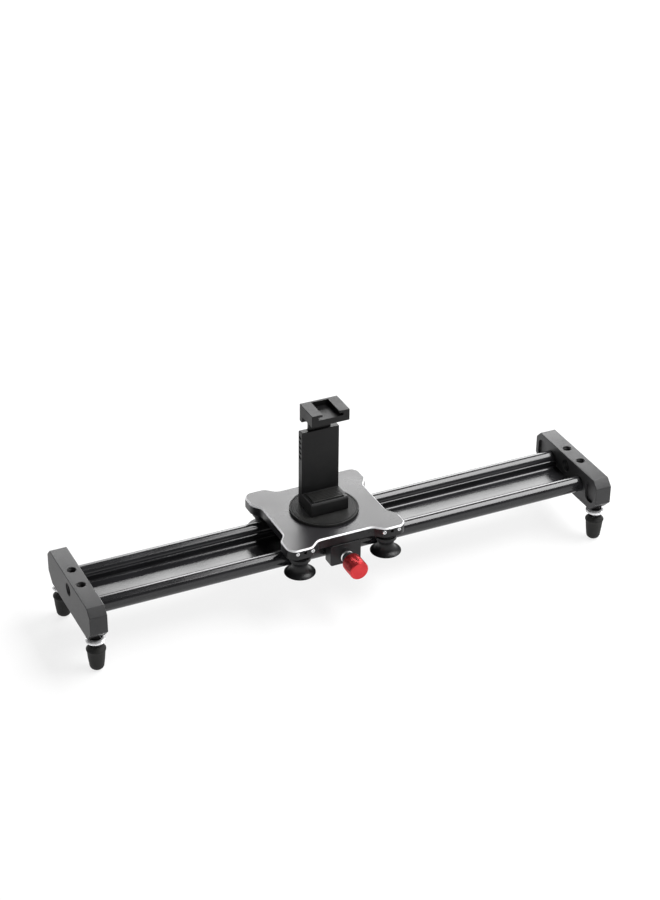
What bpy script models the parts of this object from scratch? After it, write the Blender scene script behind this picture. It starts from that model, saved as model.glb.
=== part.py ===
"""A tabletop camera slider: twin-tube rail, roller carriage with a brake, screw feet and a phone clamp.

Run with: blender --background --python part.py
Metres, +Z up. X runs along the rail and Z is 0 where the feet stand. The sizes below set everything.
"""

import math

import bmesh
import bpy
from mathutils import Matrix

MM = 0.001
RUN_GAP = 0.3 * MM  # air left between pieces that touch, turn or slide on each other
CUT_OVERSHOOT = 1.0 * MM  # how far a cutter stands out of the face it enters

# Rail: one extrusion of two round tubes, a lip beside each tube, and a flat web.
SLIDER_LENGTH = 400.0 * MM
TUBE_RADIUS = 5.73 * MM
TUBE_BORE_RADIUS = 3.5 * MM
TUBE_SPACING = 40.0 * MM
TUBE_DROP = 12.1 * MM  # tube axis below the end blocks' top
LIP_RADIUS = 0.9 * MM
LIP_STANDOFF = 0.37 * MM  # lip centre inside the tube's flank
LIP_RISE = 0.5 * MM
WEB_THICKNESS = 1.75 * MM
WEB_FILLET = 2.0 * MM

# End blocks: octagons across the rail, drilled for accessories.
BLOCK_THICKNESS = 12.6 * MM
BLOCK_WIDTH = 86.1 * MM
BLOCK_HEIGHT = 26.1 * MM
BLOCK_TOP_CHAMFER = (5.2 * MM, 5.4 * MM)
BLOCK_BOTTOM_CHAMFER = (7.3 * MM, 7.4 * MM)
BLOCK_EDGE_BREAK = 0.4 * MM
TOP_HOLE_RADIUS = 3.3 * MM
TOP_HOLE_SPACING = 19.2 * MM
TOP_HOLE_DEPTH = 14.0 * MM
CENTRE_HOLE_RADIUS = 4.8 * MM
CENTRE_HOLE_DROP = 8.4 * MM
POCKET_SIZE = (11.0 * MM, 15.0 * MM)  # weight-saving pocket beside each tube, across and up
POCKET_CORNER = 5.0 * MM
POCKET_DEPTH = 1.8 * MM
POCKET_DROP = 12.6 * MM
DOWEL_RADIUS = 3.2 * MM
DOWEL_LENGTH = 20.0 * MM
DOWEL_DEPTH = 8.0 * MM  # the part of a dowel that sits in the block
GRUB_RADIUS = 2.0 * MM

# Screw feet, one under each corner.
LEG_SPACING = 68.0 * MM
COLLAR_HEIGHT = 0.5 * MM
COLLAR_RADIUS = 4.6 * MM
RING_HEIGHT = 2.3 * MM
RING_RADIUS = 7.0 * MM
RING_GROOVE = 0.25 * MM
BOOT_HEIGHT = 19.4 * MM
BOOT_TOP_RADIUS = 4.4 * MM
BOOT_COLLAR_RADIUS = 6.8 * MM
BOOT_COLLAR_DROP = 2.9 * MM
BOOT_COLLAR_HEIGHT = 1.0 * MM
BOOT_TIP_RADIUS = 5.1 * MM
BOOT_TIP_ROUND = 3.4 * MM
BOOT_SOLE_RADIUS = 2.4 * MM
STUD_RADIUS = 3.175 * MM
STUD_GRIP = 18.0 * MM  # stud length inside the block when the foot is screwed home
STUD_IN_BOOT = 12.0 * MM
STUD_SHOWN = 3.4 * MM  # between the boot and the lock ring

# Carriage plate and its wings.
CARRIAGE_X = -10.4 * MM
PLATE_THICKNESS = 7.4 * MM
PLATE_RIDE = 5.0 * MM  # air between the tubes' crown and the plate
PLATE_HALF_LENGTH = 39.5 * MM
WING_END = 11.8 * MM  # wing beyond the roller's axis, along the rail
WING_OVERHANG = 9.77 * MM  # and across it
WING_SLOPE_START = 20.6 * MM
WING_SLOPE_RUN = 7.2 * MM
WING_WAIST = (18.5 * MM, 25.3 * MM)  # where the side's taper starts and ends, from the carriage's middle
WING_CORNER = (3.9 * MM, 4.4 * MM)
PLATE_TOP_CHAMFER = 0.9 * MM
PLATE_CORNER_ROUND = 1.6 * MM

# Rollers: four grooved trumpets on ball bearings.
ROLLER_HALF_BASE = 33.0 * MM
GROOVE_RADIUS = 5.7 * MM
ROLLER_FLARE_RADIUS = 11.0 * MM
ROLLER_COLLAR_RADIUS = 7.6 * MM
ROLLER_RIM_HEIGHT = 0.5 * MM
ROLLER_COLLAR_HEIGHT = 2.7 * MM
BEARING_RADIUS = 4.5 * MM
BEARING_WIDTH = 4.0 * MM
AXLE_RADIUS = 2.0 * MM
AXLE_GRIP = 5.6 * MM  # bolt length inside the plate
BOLT_HEAD = (4.2 * MM, 2.6 * MM)
SPACER_WALL = 0.8 * MM

# Set screws in the wings' edges.
WING_SCREW_RADIUS = 1.3 * MM
WING_SCREW_SPREAD = 5.6 * MM
WING_SCREW_LENGTH = 5.0 * MM
WING_SCREW_RISE = 4.3 * MM  # above the plate's underside
AXLE_SCREW_RADIUS = 1.0 * MM

# Brake: a bracket under the plate's front edge, a screw with a red knob, and a nylon pad.
BRACKET_LENGTH = 23.2 * MM
BRACKET_DEPTH = 8.7 * MM
BRACKET_HEIGHT = 16.0 * MM
BRACKET_CLEARANCE = 1.57 * MM  # between the tube's flank and the bracket
BRACKET_PROUD = 1.0 * MM  # bracket face ahead of the plate's front edge
BRACKET_CORNER = 1.4 * MM
BRACKET_SCREW_SPACING = 15.0 * MM
BRACKET_SCREW_RADIUS = 1.5 * MM
BRACKET_SCREW_HEAD = (2.6 * MM, 2.0 * MM)
BRACKET_SCREW_GRIP = 4.4 * MM
KNOB_RISE = 0.9 * MM  # knob axis above the tube axis
KNOB_RADIUS = 6.9 * MM
KNOB_LENGTH = 13.6 * MM
KNOB_EDGE = 0.7 * MM
KNOB_SOCKET_DEPTH = 5.0 * MM
KNOB_COLLAR_RADIUS = 4.6 * MM
KNOB_COLLAR_LENGTH = 7.8 * MM
BRAKE_SCREW_RADIUS = 2.5 * MM
BRAKE_PAD_RADIUS = 2.4 * MM
BRAKE_PAD_LENGTH = 3.2 * MM

# Round rubber pad and camera screw in the middle of the plate.
PAD_RADIUS = 24.5 * MM
PAD_THICKNESS = 1.8 * MM
PAD_RIM_WIDTH = 1.2 * MM
PAD_GROOVE = (0.5 * MM, 0.4 * MM)  # across and down, inside the rim
PAD_EDGE = 0.3 * MM
CAMERA_SCREW_RADIUS = 3.175 * MM
CAMERA_SCREW_HEAD = (6.0 * MM, 2.8 * MM)
CAMERA_SCREW_REACH = 6.6 * MM  # above the rubber pad
CAMERA_SCREW_LEAD = 0.5 * MM

# Phone clamp: a lower jaw with a hollow spine, and an upper jaw with a cold shoe on a tongue.
CLAMP_WIDTH = 28.3 * MM
CLAMP_FRONT = 10.0 * MM
CLAMP_BACK = 12.4 * MM
JAW_EDGE = 1.2 * MM
LOWER_JAW_HEIGHT = 9.7 * MM
SPINE_FRONT = 6.2 * MM
CHANNEL_FRONT_WALL = 1.5 * MM
CHANNEL_DEPTH = 3.2 * MM
TONGUE_WIDTH = 16.6 * MM
CHANNEL_FLOOR = 7.2 * MM  # above the lower jaw's underside
JAW_LOWERING = 8.0 * MM
JAW_RAISING = 22.0 * MM
JAW_OPENING = 61.9 * MM  # between the jaws' metal faces at rest
HEAD_HEIGHT = 8.6 * MM
SHOULDER_FRONT = 5.6 * MM
SHOULDER_HEIGHT = 4.6 * MM
SHOULDER_SLOPE = 1.4 * MM
SHOE_SLOT_WIDTH = 18.8 * MM
SHOE_SLOT_HEIGHT = 2.2 * MM
SHOE_MOUTH_WIDTH = 12.7 * MM
SHOE_LIP = 1.7 * MM
SHOE_STOP = 2.0 * MM
GRIP_PAD_THICKNESS = 1.4 * MM
GRIP_PAD_SINK = 0.7 * MM
GRIP_PAD_MARGIN = 2.4 * MM
GRIP_PAD_BACK_MARGIN = 0.6 * MM
GRIP_PAD_EDGE = 0.3 * MM
CLAMP_SCREW_HOLD = 2.5 * MM  # tongue left below the screw when the jaw is raised all the way
CLAMP_SCREW_RADIUS = 2.0 * MM
CLAMP_BOSS_RADIUS = 5.0 * MM
CLAMP_BOSS_LENGTH = 3.0 * MM
CLAMP_KNOB_RADIUS = 7.5 * MM
CLAMP_KNOB_LENGTH = 9.0 * MM
CLAMP_KNOB_NECK = (2.0 * MM, 2.6 * MM)  # where the neck ends and the full width starts
CLAMP_KNOB_EDGE = 0.8 * MM
CLAMP_TIP_LENGTH = 1.6 * MM

ROUND_STEPS = 32
SMALL_STEPS = 16
CORNERS = ((-1, -1, "left_front"), (1, -1, "right_front"), (-1, 1, "left_rear"), (1, 1, "right_rear"))

# Places that follow from the sizes.
RING_BOTTOM = BOOT_HEIGHT + STUD_SHOWN
COLLAR_BOTTOM = RING_BOTTOM + RING_HEIGHT + RUN_GAP
BLOCK_BOTTOM = COLLAR_BOTTOM + COLLAR_HEIGHT + RUN_GAP
BLOCK_TOP = BLOCK_BOTTOM + BLOCK_HEIGHT
TUBE_Z = BLOCK_TOP - TUBE_DROP
TUBE_Y = TUBE_SPACING / 2
BLOCK_X = (SLIDER_LENGTH - BLOCK_THICKNESS) / 2
RAIL_LENGTH = SLIDER_LENGTH - 2 * (BLOCK_THICKNESS + RUN_GAP)
PLATE_BOTTOM = TUBE_Z + TUBE_RADIUS + PLATE_RIDE
PLATE_TOP = PLATE_BOTTOM + PLATE_THICKNESS
ROLLER_Y = TUBE_Y + TUBE_RADIUS + RUN_GAP + GROOVE_RADIUS
WING_HALF_LENGTH = ROLLER_HALF_BASE + WING_END
WING_HALF_WIDTH = ROLLER_Y + WING_OVERHANG
BRACKET_FRONT = TUBE_Y + TUBE_RADIUS + BRACKET_CLEARANCE + BRACKET_DEPTH
PLATE_HALF_WIDTH = BRACKET_FRONT - BRACKET_PROUD
KNOB_Z = TUBE_Z + KNOB_RISE
KNOB_BACK = BRACKET_FRONT + KNOB_COLLAR_LENGTH + 2 * RUN_GAP
KNOB_REACH = KNOB_BACK + KNOB_LENGTH
PAD_BOTTOM = PLATE_TOP + RUN_GAP
PAD_TOP = PAD_BOTTOM + PAD_THICKNESS
CLAMP_BOTTOM = PAD_TOP + RUN_GAP
LOWER_JAW_TOP = CLAMP_BOTTOM + LOWER_JAW_HEIGHT
HEAD_BOTTOM = LOWER_JAW_TOP + JAW_OPENING
SHOE_FLOOR = HEAD_BOTTOM + HEAD_HEIGHT - SHOE_LIP - SHOE_SLOT_HEIGHT
CHANNEL_FRONT = SPINE_FRONT + CHANNEL_FRONT_WALL
CHANNEL_BACK = CHANNEL_FRONT + CHANNEL_DEPTH
CHANNEL_WIDTH = TONGUE_WIDTH + 2 * RUN_GAP
TONGUE_BOTTOM = CLAMP_BOTTOM + CHANNEL_FLOOR + RUN_GAP + JAW_LOWERING
SPINE_TOP = HEAD_BOTTOM - SHOULDER_HEIGHT - JAW_LOWERING - RUN_GAP
CLAMP_SCREW_Z = TONGUE_BOTTOM + JAW_RAISING + CLAMP_SCREW_RADIUS + CLAMP_SCREW_HOLD
REAR_REACH = max(BLOCK_WIDTH / 2, ROLLER_Y + ROLLER_FLARE_RADIUS)
RAIL_MIDDLE_Y = (KNOB_REACH - REAR_REACH) / 2  # puts Y = 0 half way between the front and back of the slider

COLOURS = {  # base colour, roughness, metallic
    "black_anodised": ((0.018, 0.018, 0.020), 0.28, 0.6),
    "grey_anodised": ((0.16, 0.16, 0.165), 0.42, 0.7),
    "satin_plate": ((0.035, 0.034, 0.036), 0.32, 0.5),
    "black_polymer": ((0.020, 0.020, 0.021), 0.45, 0.0),
    "black_rubber": ((0.016, 0.016, 0.016), 0.75, 0.0),
    "bright_steel": ((0.78, 0.78, 0.79), 0.22, 1.0),
    "black_oxide": ((0.10, 0.10, 0.10), 0.35, 1.0),
    "red_anodised": ((0.62, 0.030, 0.035), 0.30, 0.6),
    "white_nylon": ((0.80, 0.79, 0.75), 0.50, 0.0),
}
_materials = {}


def material(name):
    """One Principled BSDF for each finish in COLOURS."""
    if name not in _materials:
        colour, roughness, metallic = COLOURS[name]
        made = bpy.data.materials.new(name)
        made.use_nodes = True
        shader = made.node_tree.nodes["Principled BSDF"]
        shader.inputs["Base Color"].default_value = (*colour, 1.0)
        shader.inputs["Roughness"].default_value = roughness
        shader.inputs["Metallic"].default_value = metallic
        made.diffuse_color = (*colour, 1.0)
        _materials[name] = made
    return _materials[name]


def clear_scene():
    for obj in list(bpy.data.objects):
        bpy.data.objects.remove(obj, do_unlink=True)


def new_collection(name):
    collection = bpy.data.collections.new(name)
    bpy.context.scene.collection.children.link(collection)
    return collection


clear_scene()
PARTS = new_collection("camera_slider")
CUTTERS = new_collection("camera_slider_cutters")


def empty(name, place, parent=None):
    made = bpy.data.objects.new(name, None)
    made.empty_display_size = 10 * MM
    made.location = place
    made.parent = parent
    PARTS.objects.link(made)
    return made


def place_part(name, mesh, finish, place, parent, turn=(0, 0, 0)):
    """Makes a mesh the named part, shaded smooth between its sharp edges."""
    own = material(finish).copy()
    own.name = name
    mesh.materials.clear()
    mesh.materials.append(own)
    mesh.shade_smooth()
    mesh.set_sharp_from_angle(angle=math.radians(35))
    part = bpy.data.objects.new(name, mesh)
    part.location = place
    part.rotation_euler = turn
    part.parent = parent
    PARTS.objects.link(part)
    return part


def cutter(name, mesh, parent, place=(0, 0, 0), turn=(0, 0, 0)):
    helper = bpy.data.objects.new(name, mesh)
    helper.location = place
    helper.rotation_euler = turn
    helper.parent = parent
    helper.hide_render = True
    helper.display_type = "WIRE"
    CUTTERS.objects.link(helper)
    return helper


def combine(part, helper, operation="DIFFERENCE"):
    boolean = part.modifiers.new(helper.name, "BOOLEAN")
    boolean.operation = operation
    boolean.object = helper
    boolean.solver = "EXACT"


def mesh_from(shape, name):
    mesh = bpy.data.meshes.new(name)
    shape.to_mesh(mesh)
    shape.free()
    return mesh


AXIS_TURN = {
    "X": Matrix.Rotation(math.pi / 2, 4, "Y"),
    "Y": Matrix.Rotation(math.pi / 2, 4, "X"),
    "Z": Matrix.Identity(4),
}


def cylinders(name, places, radius, length, axis, steps=SMALL_STEPS):
    """A mesh of equal cylinders, each centred on its place."""
    shape = bmesh.new()
    for place in places:
        bmesh.ops.create_cone(
            shape,
            cap_ends=True,
            segments=steps,
            radius1=radius,
            radius2=radius,
            depth=length,
            matrix=Matrix.Translation(place) @ AXIS_TURN[axis],
        )
    return mesh_from(shape, name)


def boxes(name, spans):
    """A mesh of boxes, each given by its lowest and highest corner."""
    shape = bmesh.new()
    for low, high in spans:
        middle = [(a + b) / 2 for a, b in zip(low, high)]
        size = [b - a for a, b in zip(low, high)]
        placed = Matrix.Translation(middle) @ Matrix.Diagonal((*size, 1.0))
        bmesh.ops.create_cube(shape, size=1.0, matrix=placed)
    return mesh_from(shape, name)


def arc(centre, radius, start, end, steps):
    """Points on an arc, angles in degrees."""
    return [
        (
            centre[0] + radius * math.cos(math.radians(start + (end - start) * i / steps)),
            centre[1] + radius * math.sin(math.radians(start + (end - start) * i / steps)),
        )
        for i in range(steps + 1)
    ]


def rounded(corners, radius, steps=4):
    """The closed outline with each corner rounded, by no more than the sides beside it allow."""
    points = []
    for i, corner in enumerate(corners):
        before = corners[i - 1]
        after = corners[(i + 1) % len(corners)]
        to_before = math.dist(corner, before)
        to_after = math.dist(corner, after)
        u = [(b - c) / to_before for b, c in zip(before, corner)]
        v = [(a - c) / to_after for a, c in zip(after, corner)]
        half = math.acos(max(-1.0, min(1.0, u[0] * v[0] + u[1] * v[1]))) / 2
        cut = min(radius / math.tan(half), 0.45 * to_before, 0.45 * to_after)
        start = [c + cut * d for c, d in zip(corner, u)]
        end = [c + cut * d for c, d in zip(corner, v)]
        for step in range(steps + 1):
            t = step / steps
            points.append(
                tuple(
                    (1 - t) ** 2 * s + 2 * t * (1 - t) * c + t**2 * e
                    for s, c, e in zip(start, corner, end)
                )
            )
    return points


def extruded(name, outlines, thickness):
    """A flat outline, with any holes as further outlines, given a thickness along its own Z."""
    curve = bpy.data.curves.new(name, "CURVE")
    curve.dimensions = "2D"
    curve.fill_mode = "BOTH"
    curve.extrude = thickness / 2
    for outline in outlines:
        spline = curve.splines.new("POLY")
        spline.points.add(len(outline) - 1)
        for point, (x, y) in zip(spline.points, outline):
            point.co = (x, y, 0, 1)
        spline.use_cyclic_u = True
    helper = bpy.data.objects.new(name, curve)
    CUTTERS.objects.link(helper)
    graph = bpy.context.evaluated_depsgraph_get()
    mesh = bpy.data.meshes.new_from_object(helper.evaluated_get(graph))
    bpy.data.objects.remove(helper)
    shape = bmesh.new()
    shape.from_mesh(mesh)
    bmesh.ops.remove_doubles(shape, verts=shape.verts, dist=0.001 * MM)
    bmesh.ops.recalc_face_normals(shape, faces=shape.faces)
    shape.to_mesh(mesh)
    shape.free()
    return mesh


def turned(name, profile, finish, place, parent, turn=(0, 0, 0), ring=False, steps=ROUND_STEPS):
    """A turned piece about its own Z. The profile is (radius, height) down the outer side."""
    shape = bmesh.new()
    points = [shape.verts.new((radius, 0, height)) for radius, height in profile]
    for first, second in zip(points, points[1:]):
        shape.edges.new((first, second))
    if ring:
        shape.edges.new((points[-1], points[0]))
    part = place_part(name, mesh_from(shape, name), finish, place, parent, turn)
    screw = part.modifiers.new("turn", "SCREW")
    screw.axis = "Z"
    screw.steps = steps
    screw.render_steps = steps
    screw.use_smooth_shade = True
    screw.use_merge_vertices = True
    screw.merge_threshold = 0.001 * MM
    return part


def edge_break(part, width):
    bevel = part.modifiers.new("edge_break", "BEVEL")
    bevel.width = width
    bevel.segments = 1
    bevel.limit_method = "ANGLE"
    bevel.angle_limit = math.radians(30)


# An outline's x and y become Y and Z, and its thickness runs along X.
ACROSS_RAIL = (math.pi / 2, 0, math.pi / 2)
TOWARDS_FRONT = (math.pi / 2, 0, 0)  # a turned piece's own Z points to -Y
TOWARDS_BACK = (-math.pi / 2, 0, 0)  # and here to +Y


def angle_between(first, second, opposite):
    """The angle in degrees between two sides of a triangle, from its three lengths."""
    return math.degrees(math.acos((first**2 + second**2 - opposite**2) / (2 * first * second)))


def rail_outline():
    """The extrusion's section, in Y and Z from the middle of the tube axes."""
    lip = (TUBE_Y - TUBE_RADIUS - LIP_STANDOFF, LIP_RISE)
    apart = math.hypot(TUBE_Y - lip[0], LIP_RISE)
    lean = math.degrees(math.atan2(LIP_RISE, lip[0] - TUBE_Y))
    tube_turn = angle_between(TUBE_RADIUS, apart, LIP_RADIUS)
    lip_turn = angle_between(LIP_RADIUS, apart, TUBE_RADIUS)
    wall = lip[0] - LIP_RADIUS
    web_top = -TUBE_RADIUS + WEB_THICKNESS
    half = arc((TUBE_Y, 0), TUBE_RADIUS, -90, lean - tube_turn, 18)
    half += arc(lip, LIP_RADIUS, lean - 180 + lip_turn, 180, 3)[1:]
    half += arc((wall - WEB_FILLET, web_top + WEB_FILLET), WEB_FILLET, 0, -90, 4)
    return half + [(-y, z) for y, z in reversed(half)]


def make_rail(parent):
    last = 360 - 360 / SMALL_STEPS
    bores = [arc((side * TUBE_Y, 0), TUBE_BORE_RADIUS, 0, last, SMALL_STEPS - 1) for side in (1, -1)]
    mesh = extruded("rail_extrusion", [rail_outline(), *bores], RAIL_LENGTH)
    place_part("rail_extrusion", mesh, "black_anodised", (0, 0, TUBE_Z), parent, ACROSS_RAIL)


def block_outline():
    half_width = BLOCK_WIDTH / 2
    half_height = BLOCK_HEIGHT / 2
    right = [
        (half_width - BLOCK_BOTTOM_CHAMFER[0], -half_height),
        (half_width, -half_height + BLOCK_BOTTOM_CHAMFER[1]),
        (half_width, half_height - BLOCK_TOP_CHAMFER[1]),
        (half_width - BLOCK_TOP_CHAMFER[0], half_height),
    ]
    return right + [(-y, z) for y, z in reversed(right)]


def make_end_block(side, name, parent):
    """One end block. side is -1 on the left and 1 on the right."""
    x = side * BLOCK_X
    inner_face = side * (BLOCK_X - BLOCK_THICKNESS / 2)
    mesh = extruded(name, [block_outline()], BLOCK_THICKNESS)
    block = place_part(name, mesh, "grey_anodised", (x, 0, BLOCK_TOP - BLOCK_HEIGHT / 2), parent, ACROSS_RAIL)
    edge_break(block, BLOCK_EDGE_BREAK)

    top_reach = TOP_HOLE_DEPTH + CUT_OVERSHOOT
    top_places = [(x, s * TOP_HOLE_SPACING / 2, BLOCK_TOP + CUT_OVERSHOOT - top_reach / 2) for s in (1, -1)]
    top = cylinders(name + "_top_holes", top_places, TOP_HOLE_RADIUS, top_reach, "Z")
    centre_places = [(x, 0, BLOCK_TOP - CENTRE_HOLE_DROP)]
    through = BLOCK_THICKNESS + 2 * CUT_OVERSHOOT
    centre = cylinders(name + "_centre_hole", centre_places, CENTRE_HOLE_RADIUS, through, "X", 20)
    socket = DOWEL_DEPTH + RUN_GAP + CUT_OVERSHOOT
    socket_x = inner_face + side * (socket / 2 - CUT_OVERSHOOT)
    socket_places = [(socket_x, s * TUBE_Y, TUBE_Z) for s in (1, -1)]
    sockets = cylinders(name + "_dowel_holes", socket_places, DOWEL_RADIUS + RUN_GAP, socket, "X")
    grub_reach = TUBE_Z - BLOCK_BOTTOM + CUT_OVERSHOOT
    grub_z = BLOCK_BOTTOM - CUT_OVERSHOOT + grub_reach / 2
    grub_places = [(x, s * TUBE_Y, grub_z) for s in (1, -1)]
    grubs = cylinders(name + "_grub_holes", grub_places, GRUB_RADIUS + RUN_GAP, grub_reach, "Z")
    stud_reach = STUD_GRIP + RUN_GAP + CUT_OVERSHOOT
    stud_z = BLOCK_BOTTOM - CUT_OVERSHOOT + stud_reach / 2
    studs = cylinders(
        name + "_stud_holes",
        [(x, s * LEG_SPACING / 2, stud_z) for s in (1, -1)],
        STUD_RADIUS + RUN_GAP,
        stud_reach,
        "Z",
    )
    for mesh in (top, centre, sockets, grubs, studs):
        combine(block, cutter(mesh.name, mesh, parent))

    half = [side_length / 2 for side_length in POCKET_SIZE]
    corners = [(half[0], -half[1]), (half[0], half[1]), (-half[0], half[1]), (-half[0], -half[1])]
    for pocket_side in (1, -1):
        pocket_name = f"{name}_pocket_{'rear' if pocket_side > 0 else 'front'}"
        pocket = extruded(pocket_name, [rounded(corners, POCKET_CORNER)], 2 * POCKET_DEPTH)
        place = (inner_face, pocket_side * LEG_SPACING / 2, BLOCK_TOP - POCKET_DROP)
        combine(block, cutter(pocket_name, pocket, parent, place, ACROSS_RAIL))


def make_dowels(parent):
    """A dowel joins each end of each tube to its block."""
    dowel_x = BLOCK_X - BLOCK_THICKNESS / 2 + DOWEL_DEPTH - DOWEL_LENGTH / 2
    for x_side, y_side, corner in CORNERS:
        name = f"rail_dowel_{corner}"
        mesh = cylinders(name, [(0, 0, 0)], DOWEL_RADIUS, DOWEL_LENGTH, "X")
        place_part(name, mesh, "bright_steel", (x_side * dowel_x, y_side * TUBE_Y, TUBE_Z), parent)


def make_leg(name, x, y, parent):
    """A screw foot: washer, lock ring, stud and rubber boot, on one vertical axis."""
    axis = empty(f"leg_axis_{name}", (x, y, 0), parent)
    bore = STUD_RADIUS + RUN_GAP
    collar = [(COLLAR_RADIUS, COLLAR_HEIGHT), (COLLAR_RADIUS, 0), (bore, 0), (bore, COLLAR_HEIGHT)]
    turned(f"leg_collar_{name}", collar, "black_polymer", (0, 0, COLLAR_BOTTOM), axis, ring=True, steps=20)
    flat = RING_HEIGHT / 3
    ring = [
        (RING_RADIUS, RING_HEIGHT),
        (RING_RADIUS, RING_HEIGHT - flat),
        (RING_RADIUS - RING_GROOVE, RING_HEIGHT - flat - RING_GROOVE),
        (RING_RADIUS - RING_GROOVE, flat + RING_GROOVE),
        (RING_RADIUS, flat),
        (RING_RADIUS, 0),
        (bore, 0),
        (bore, RING_HEIGHT),
    ]
    turned(f"leg_lock_ring_{name}", ring, "bright_steel", (0, 0, RING_BOTTOM), axis, ring=True, steps=20)
    stud_bottom = BOOT_HEIGHT - STUD_IN_BOOT
    stud_top = BLOCK_BOTTOM + STUD_GRIP
    stud = [(0, stud_top), (STUD_RADIUS, stud_top), (STUD_RADIUS, stud_bottom), (0, stud_bottom)]
    turned(f"leg_stud_{name}", stud, "black_oxide", (0, 0, 0), axis, steps=SMALL_STEPS)
    tip = arc(
        (BOOT_TIP_RADIUS - BOOT_TIP_ROUND, BOOT_TIP_ROUND),
        BOOT_TIP_ROUND,
        0,
        -math.degrees(math.acos((BOOT_SOLE_RADIUS - BOOT_TIP_RADIUS + BOOT_TIP_ROUND) / BOOT_TIP_ROUND)),
        3,
    )
    socket = stud_bottom - RUN_GAP
    boot = [
        (BOOT_TOP_RADIUS, BOOT_HEIGHT),
        (BOOT_COLLAR_RADIUS, BOOT_HEIGHT - BOOT_COLLAR_DROP),
        (BOOT_COLLAR_RADIUS, BOOT_HEIGHT - BOOT_COLLAR_DROP - BOOT_COLLAR_HEIGHT),
        *tip,
        (BOOT_SOLE_RADIUS, 0),
        (0, 0),
        (0, socket),
        (bore, socket),
        (bore, BOOT_HEIGHT),
    ]
    turned(f"leg_boot_{name}", boot, "black_rubber", (0, 0, 0), axis, ring=True, steps=20)


def plate_outline():
    """The plate from above, one quarter mirrored to the other three."""
    quarter = [
        (PLATE_HALF_LENGTH, WING_WAIST[0]),
        (WING_HALF_LENGTH, WING_WAIST[1]),
        (WING_HALF_LENGTH, WING_HALF_WIDTH - WING_CORNER[1]),
        (WING_HALF_LENGTH - WING_CORNER[0], WING_HALF_WIDTH),
        (WING_SLOPE_START + WING_SLOPE_RUN, WING_HALF_WIDTH),
        (WING_SLOPE_START, PLATE_HALF_WIDTH),
    ]
    rear = quarter + [(-x, y) for x, y in reversed(quarter)]
    return rounded(rear + [(-x, -y) for x, y in rear], PLATE_CORNER_ROUND, 2)


def chamfer_top(mesh, height, width):
    """Cuts the edges round the top face of an extruded mesh."""
    shape = bmesh.new()
    shape.from_mesh(mesh)
    bmesh.ops.dissolve_limit(shape, angle_limit=math.radians(1), verts=shape.verts, edges=shape.edges)
    rim = [
        edge
        for edge in shape.edges
        if all(abs(vert.co.z - height) < 0.01 * MM for vert in edge.verts) and edge.calc_face_angle(0) > 1.0
    ]
    bmesh.ops.bevel(shape, geom=rim, offset=width, segments=1, profile=0.5, affect="EDGES", material=-1)
    shape.to_mesh(mesh)
    shape.free()


def make_plate(carriage):
    mesh = extruded("carriage_plate", [plate_outline()], PLATE_THICKNESS)
    chamfer_top(mesh, PLATE_THICKNESS / 2, PLATE_TOP_CHAMFER)
    middle = (0, 0, (PLATE_BOTTOM + PLATE_TOP) / 2)
    plate = place_part("carriage_plate", mesh, "satin_plate", middle, carriage)
    corners = [(i * ROLLER_HALF_BASE, j * ROLLER_Y) for i, j, _ in CORNERS]
    bolt_reach = AXLE_GRIP + RUN_GAP + CUT_OVERSHOOT
    bolt_z = PLATE_BOTTOM - CUT_OVERSHOOT + bolt_reach / 2
    bolt_places = [(x, y, bolt_z) for x, y in corners]
    bolts = cylinders("plate_axle_holes", bolt_places, AXLE_RADIUS + RUN_GAP, bolt_reach, "Z")
    camera_through = PLATE_THICKNESS + 2 * CUT_OVERSHOOT
    camera = cylinders("plate_camera_hole", [middle], CAMERA_SCREW_RADIUS + RUN_GAP, camera_through, "Z", 24)
    head_reach = CAMERA_SCREW_HEAD[1] + 2 * RUN_GAP + CUT_OVERSHOOT
    head_z = PLATE_BOTTOM - CUT_OVERSHOOT + head_reach / 2
    head_radius = CAMERA_SCREW_HEAD[0] + RUN_GAP
    head = cylinders("plate_camera_recess", [(0, 0, head_z)], head_radius, head_reach, "Z", 24)
    bracket_reach = BRACKET_SCREW_GRIP + RUN_GAP + CUT_OVERSHOOT
    bracket_z = PLATE_BOTTOM - CUT_OVERSHOOT + bracket_reach / 2
    bracket = cylinders(
        "plate_bracket_holes",
        [(x, y, bracket_z) for x, y in bracket_screw_places()],
        BRACKET_SCREW_RADIUS + RUN_GAP,
        bracket_reach,
        "Z",
        12,
    )
    for mesh in (bolts, camera, head, bracket):
        combine(plate, cutter(mesh.name, mesh, carriage))
    wing_reach = WING_SCREW_LENGTH + CUT_OVERSHOOT
    wing = cylinders(
        "plate_wing_holes",
        wing_screw_places(WING_HALF_WIDTH + CUT_OVERSHOOT - wing_reach / 2),
        WING_SCREW_RADIUS + RUN_GAP,
        wing_reach,
        "Y",
        12,
    )
    axle_reach = WING_HALF_WIDTH - ROLLER_Y + CUT_OVERSHOOT
    axle_y = ROLLER_Y + axle_reach / 2
    axle = cylinders(
        "plate_axle_screw_holes",
        [(x, math.copysign(axle_y, y), PLATE_BOTTOM + WING_SCREW_RISE) for x, y in corners],
        AXLE_SCREW_RADIUS + RUN_GAP,
        axle_reach,
        "Y",
        12,
    )
    for mesh in (wing, axle):
        combine(plate, cutter(mesh.name, mesh, carriage))


def wing_screw_places(reach):
    """Two screws beside each roller, in the wings' edges."""
    return [
        (i * ROLLER_HALF_BASE + k * WING_SCREW_SPREAD, j * reach, PLATE_BOTTOM + WING_SCREW_RISE)
        for i, j, _ in CORNERS
        for k in (-1, 1)
    ]


def bracket_screw_places():
    middle = -(BRACKET_FRONT - BRACKET_DEPTH / 2)
    return [(side * BRACKET_SCREW_SPACING / 2, middle) for side in (-1, 1)]


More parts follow.
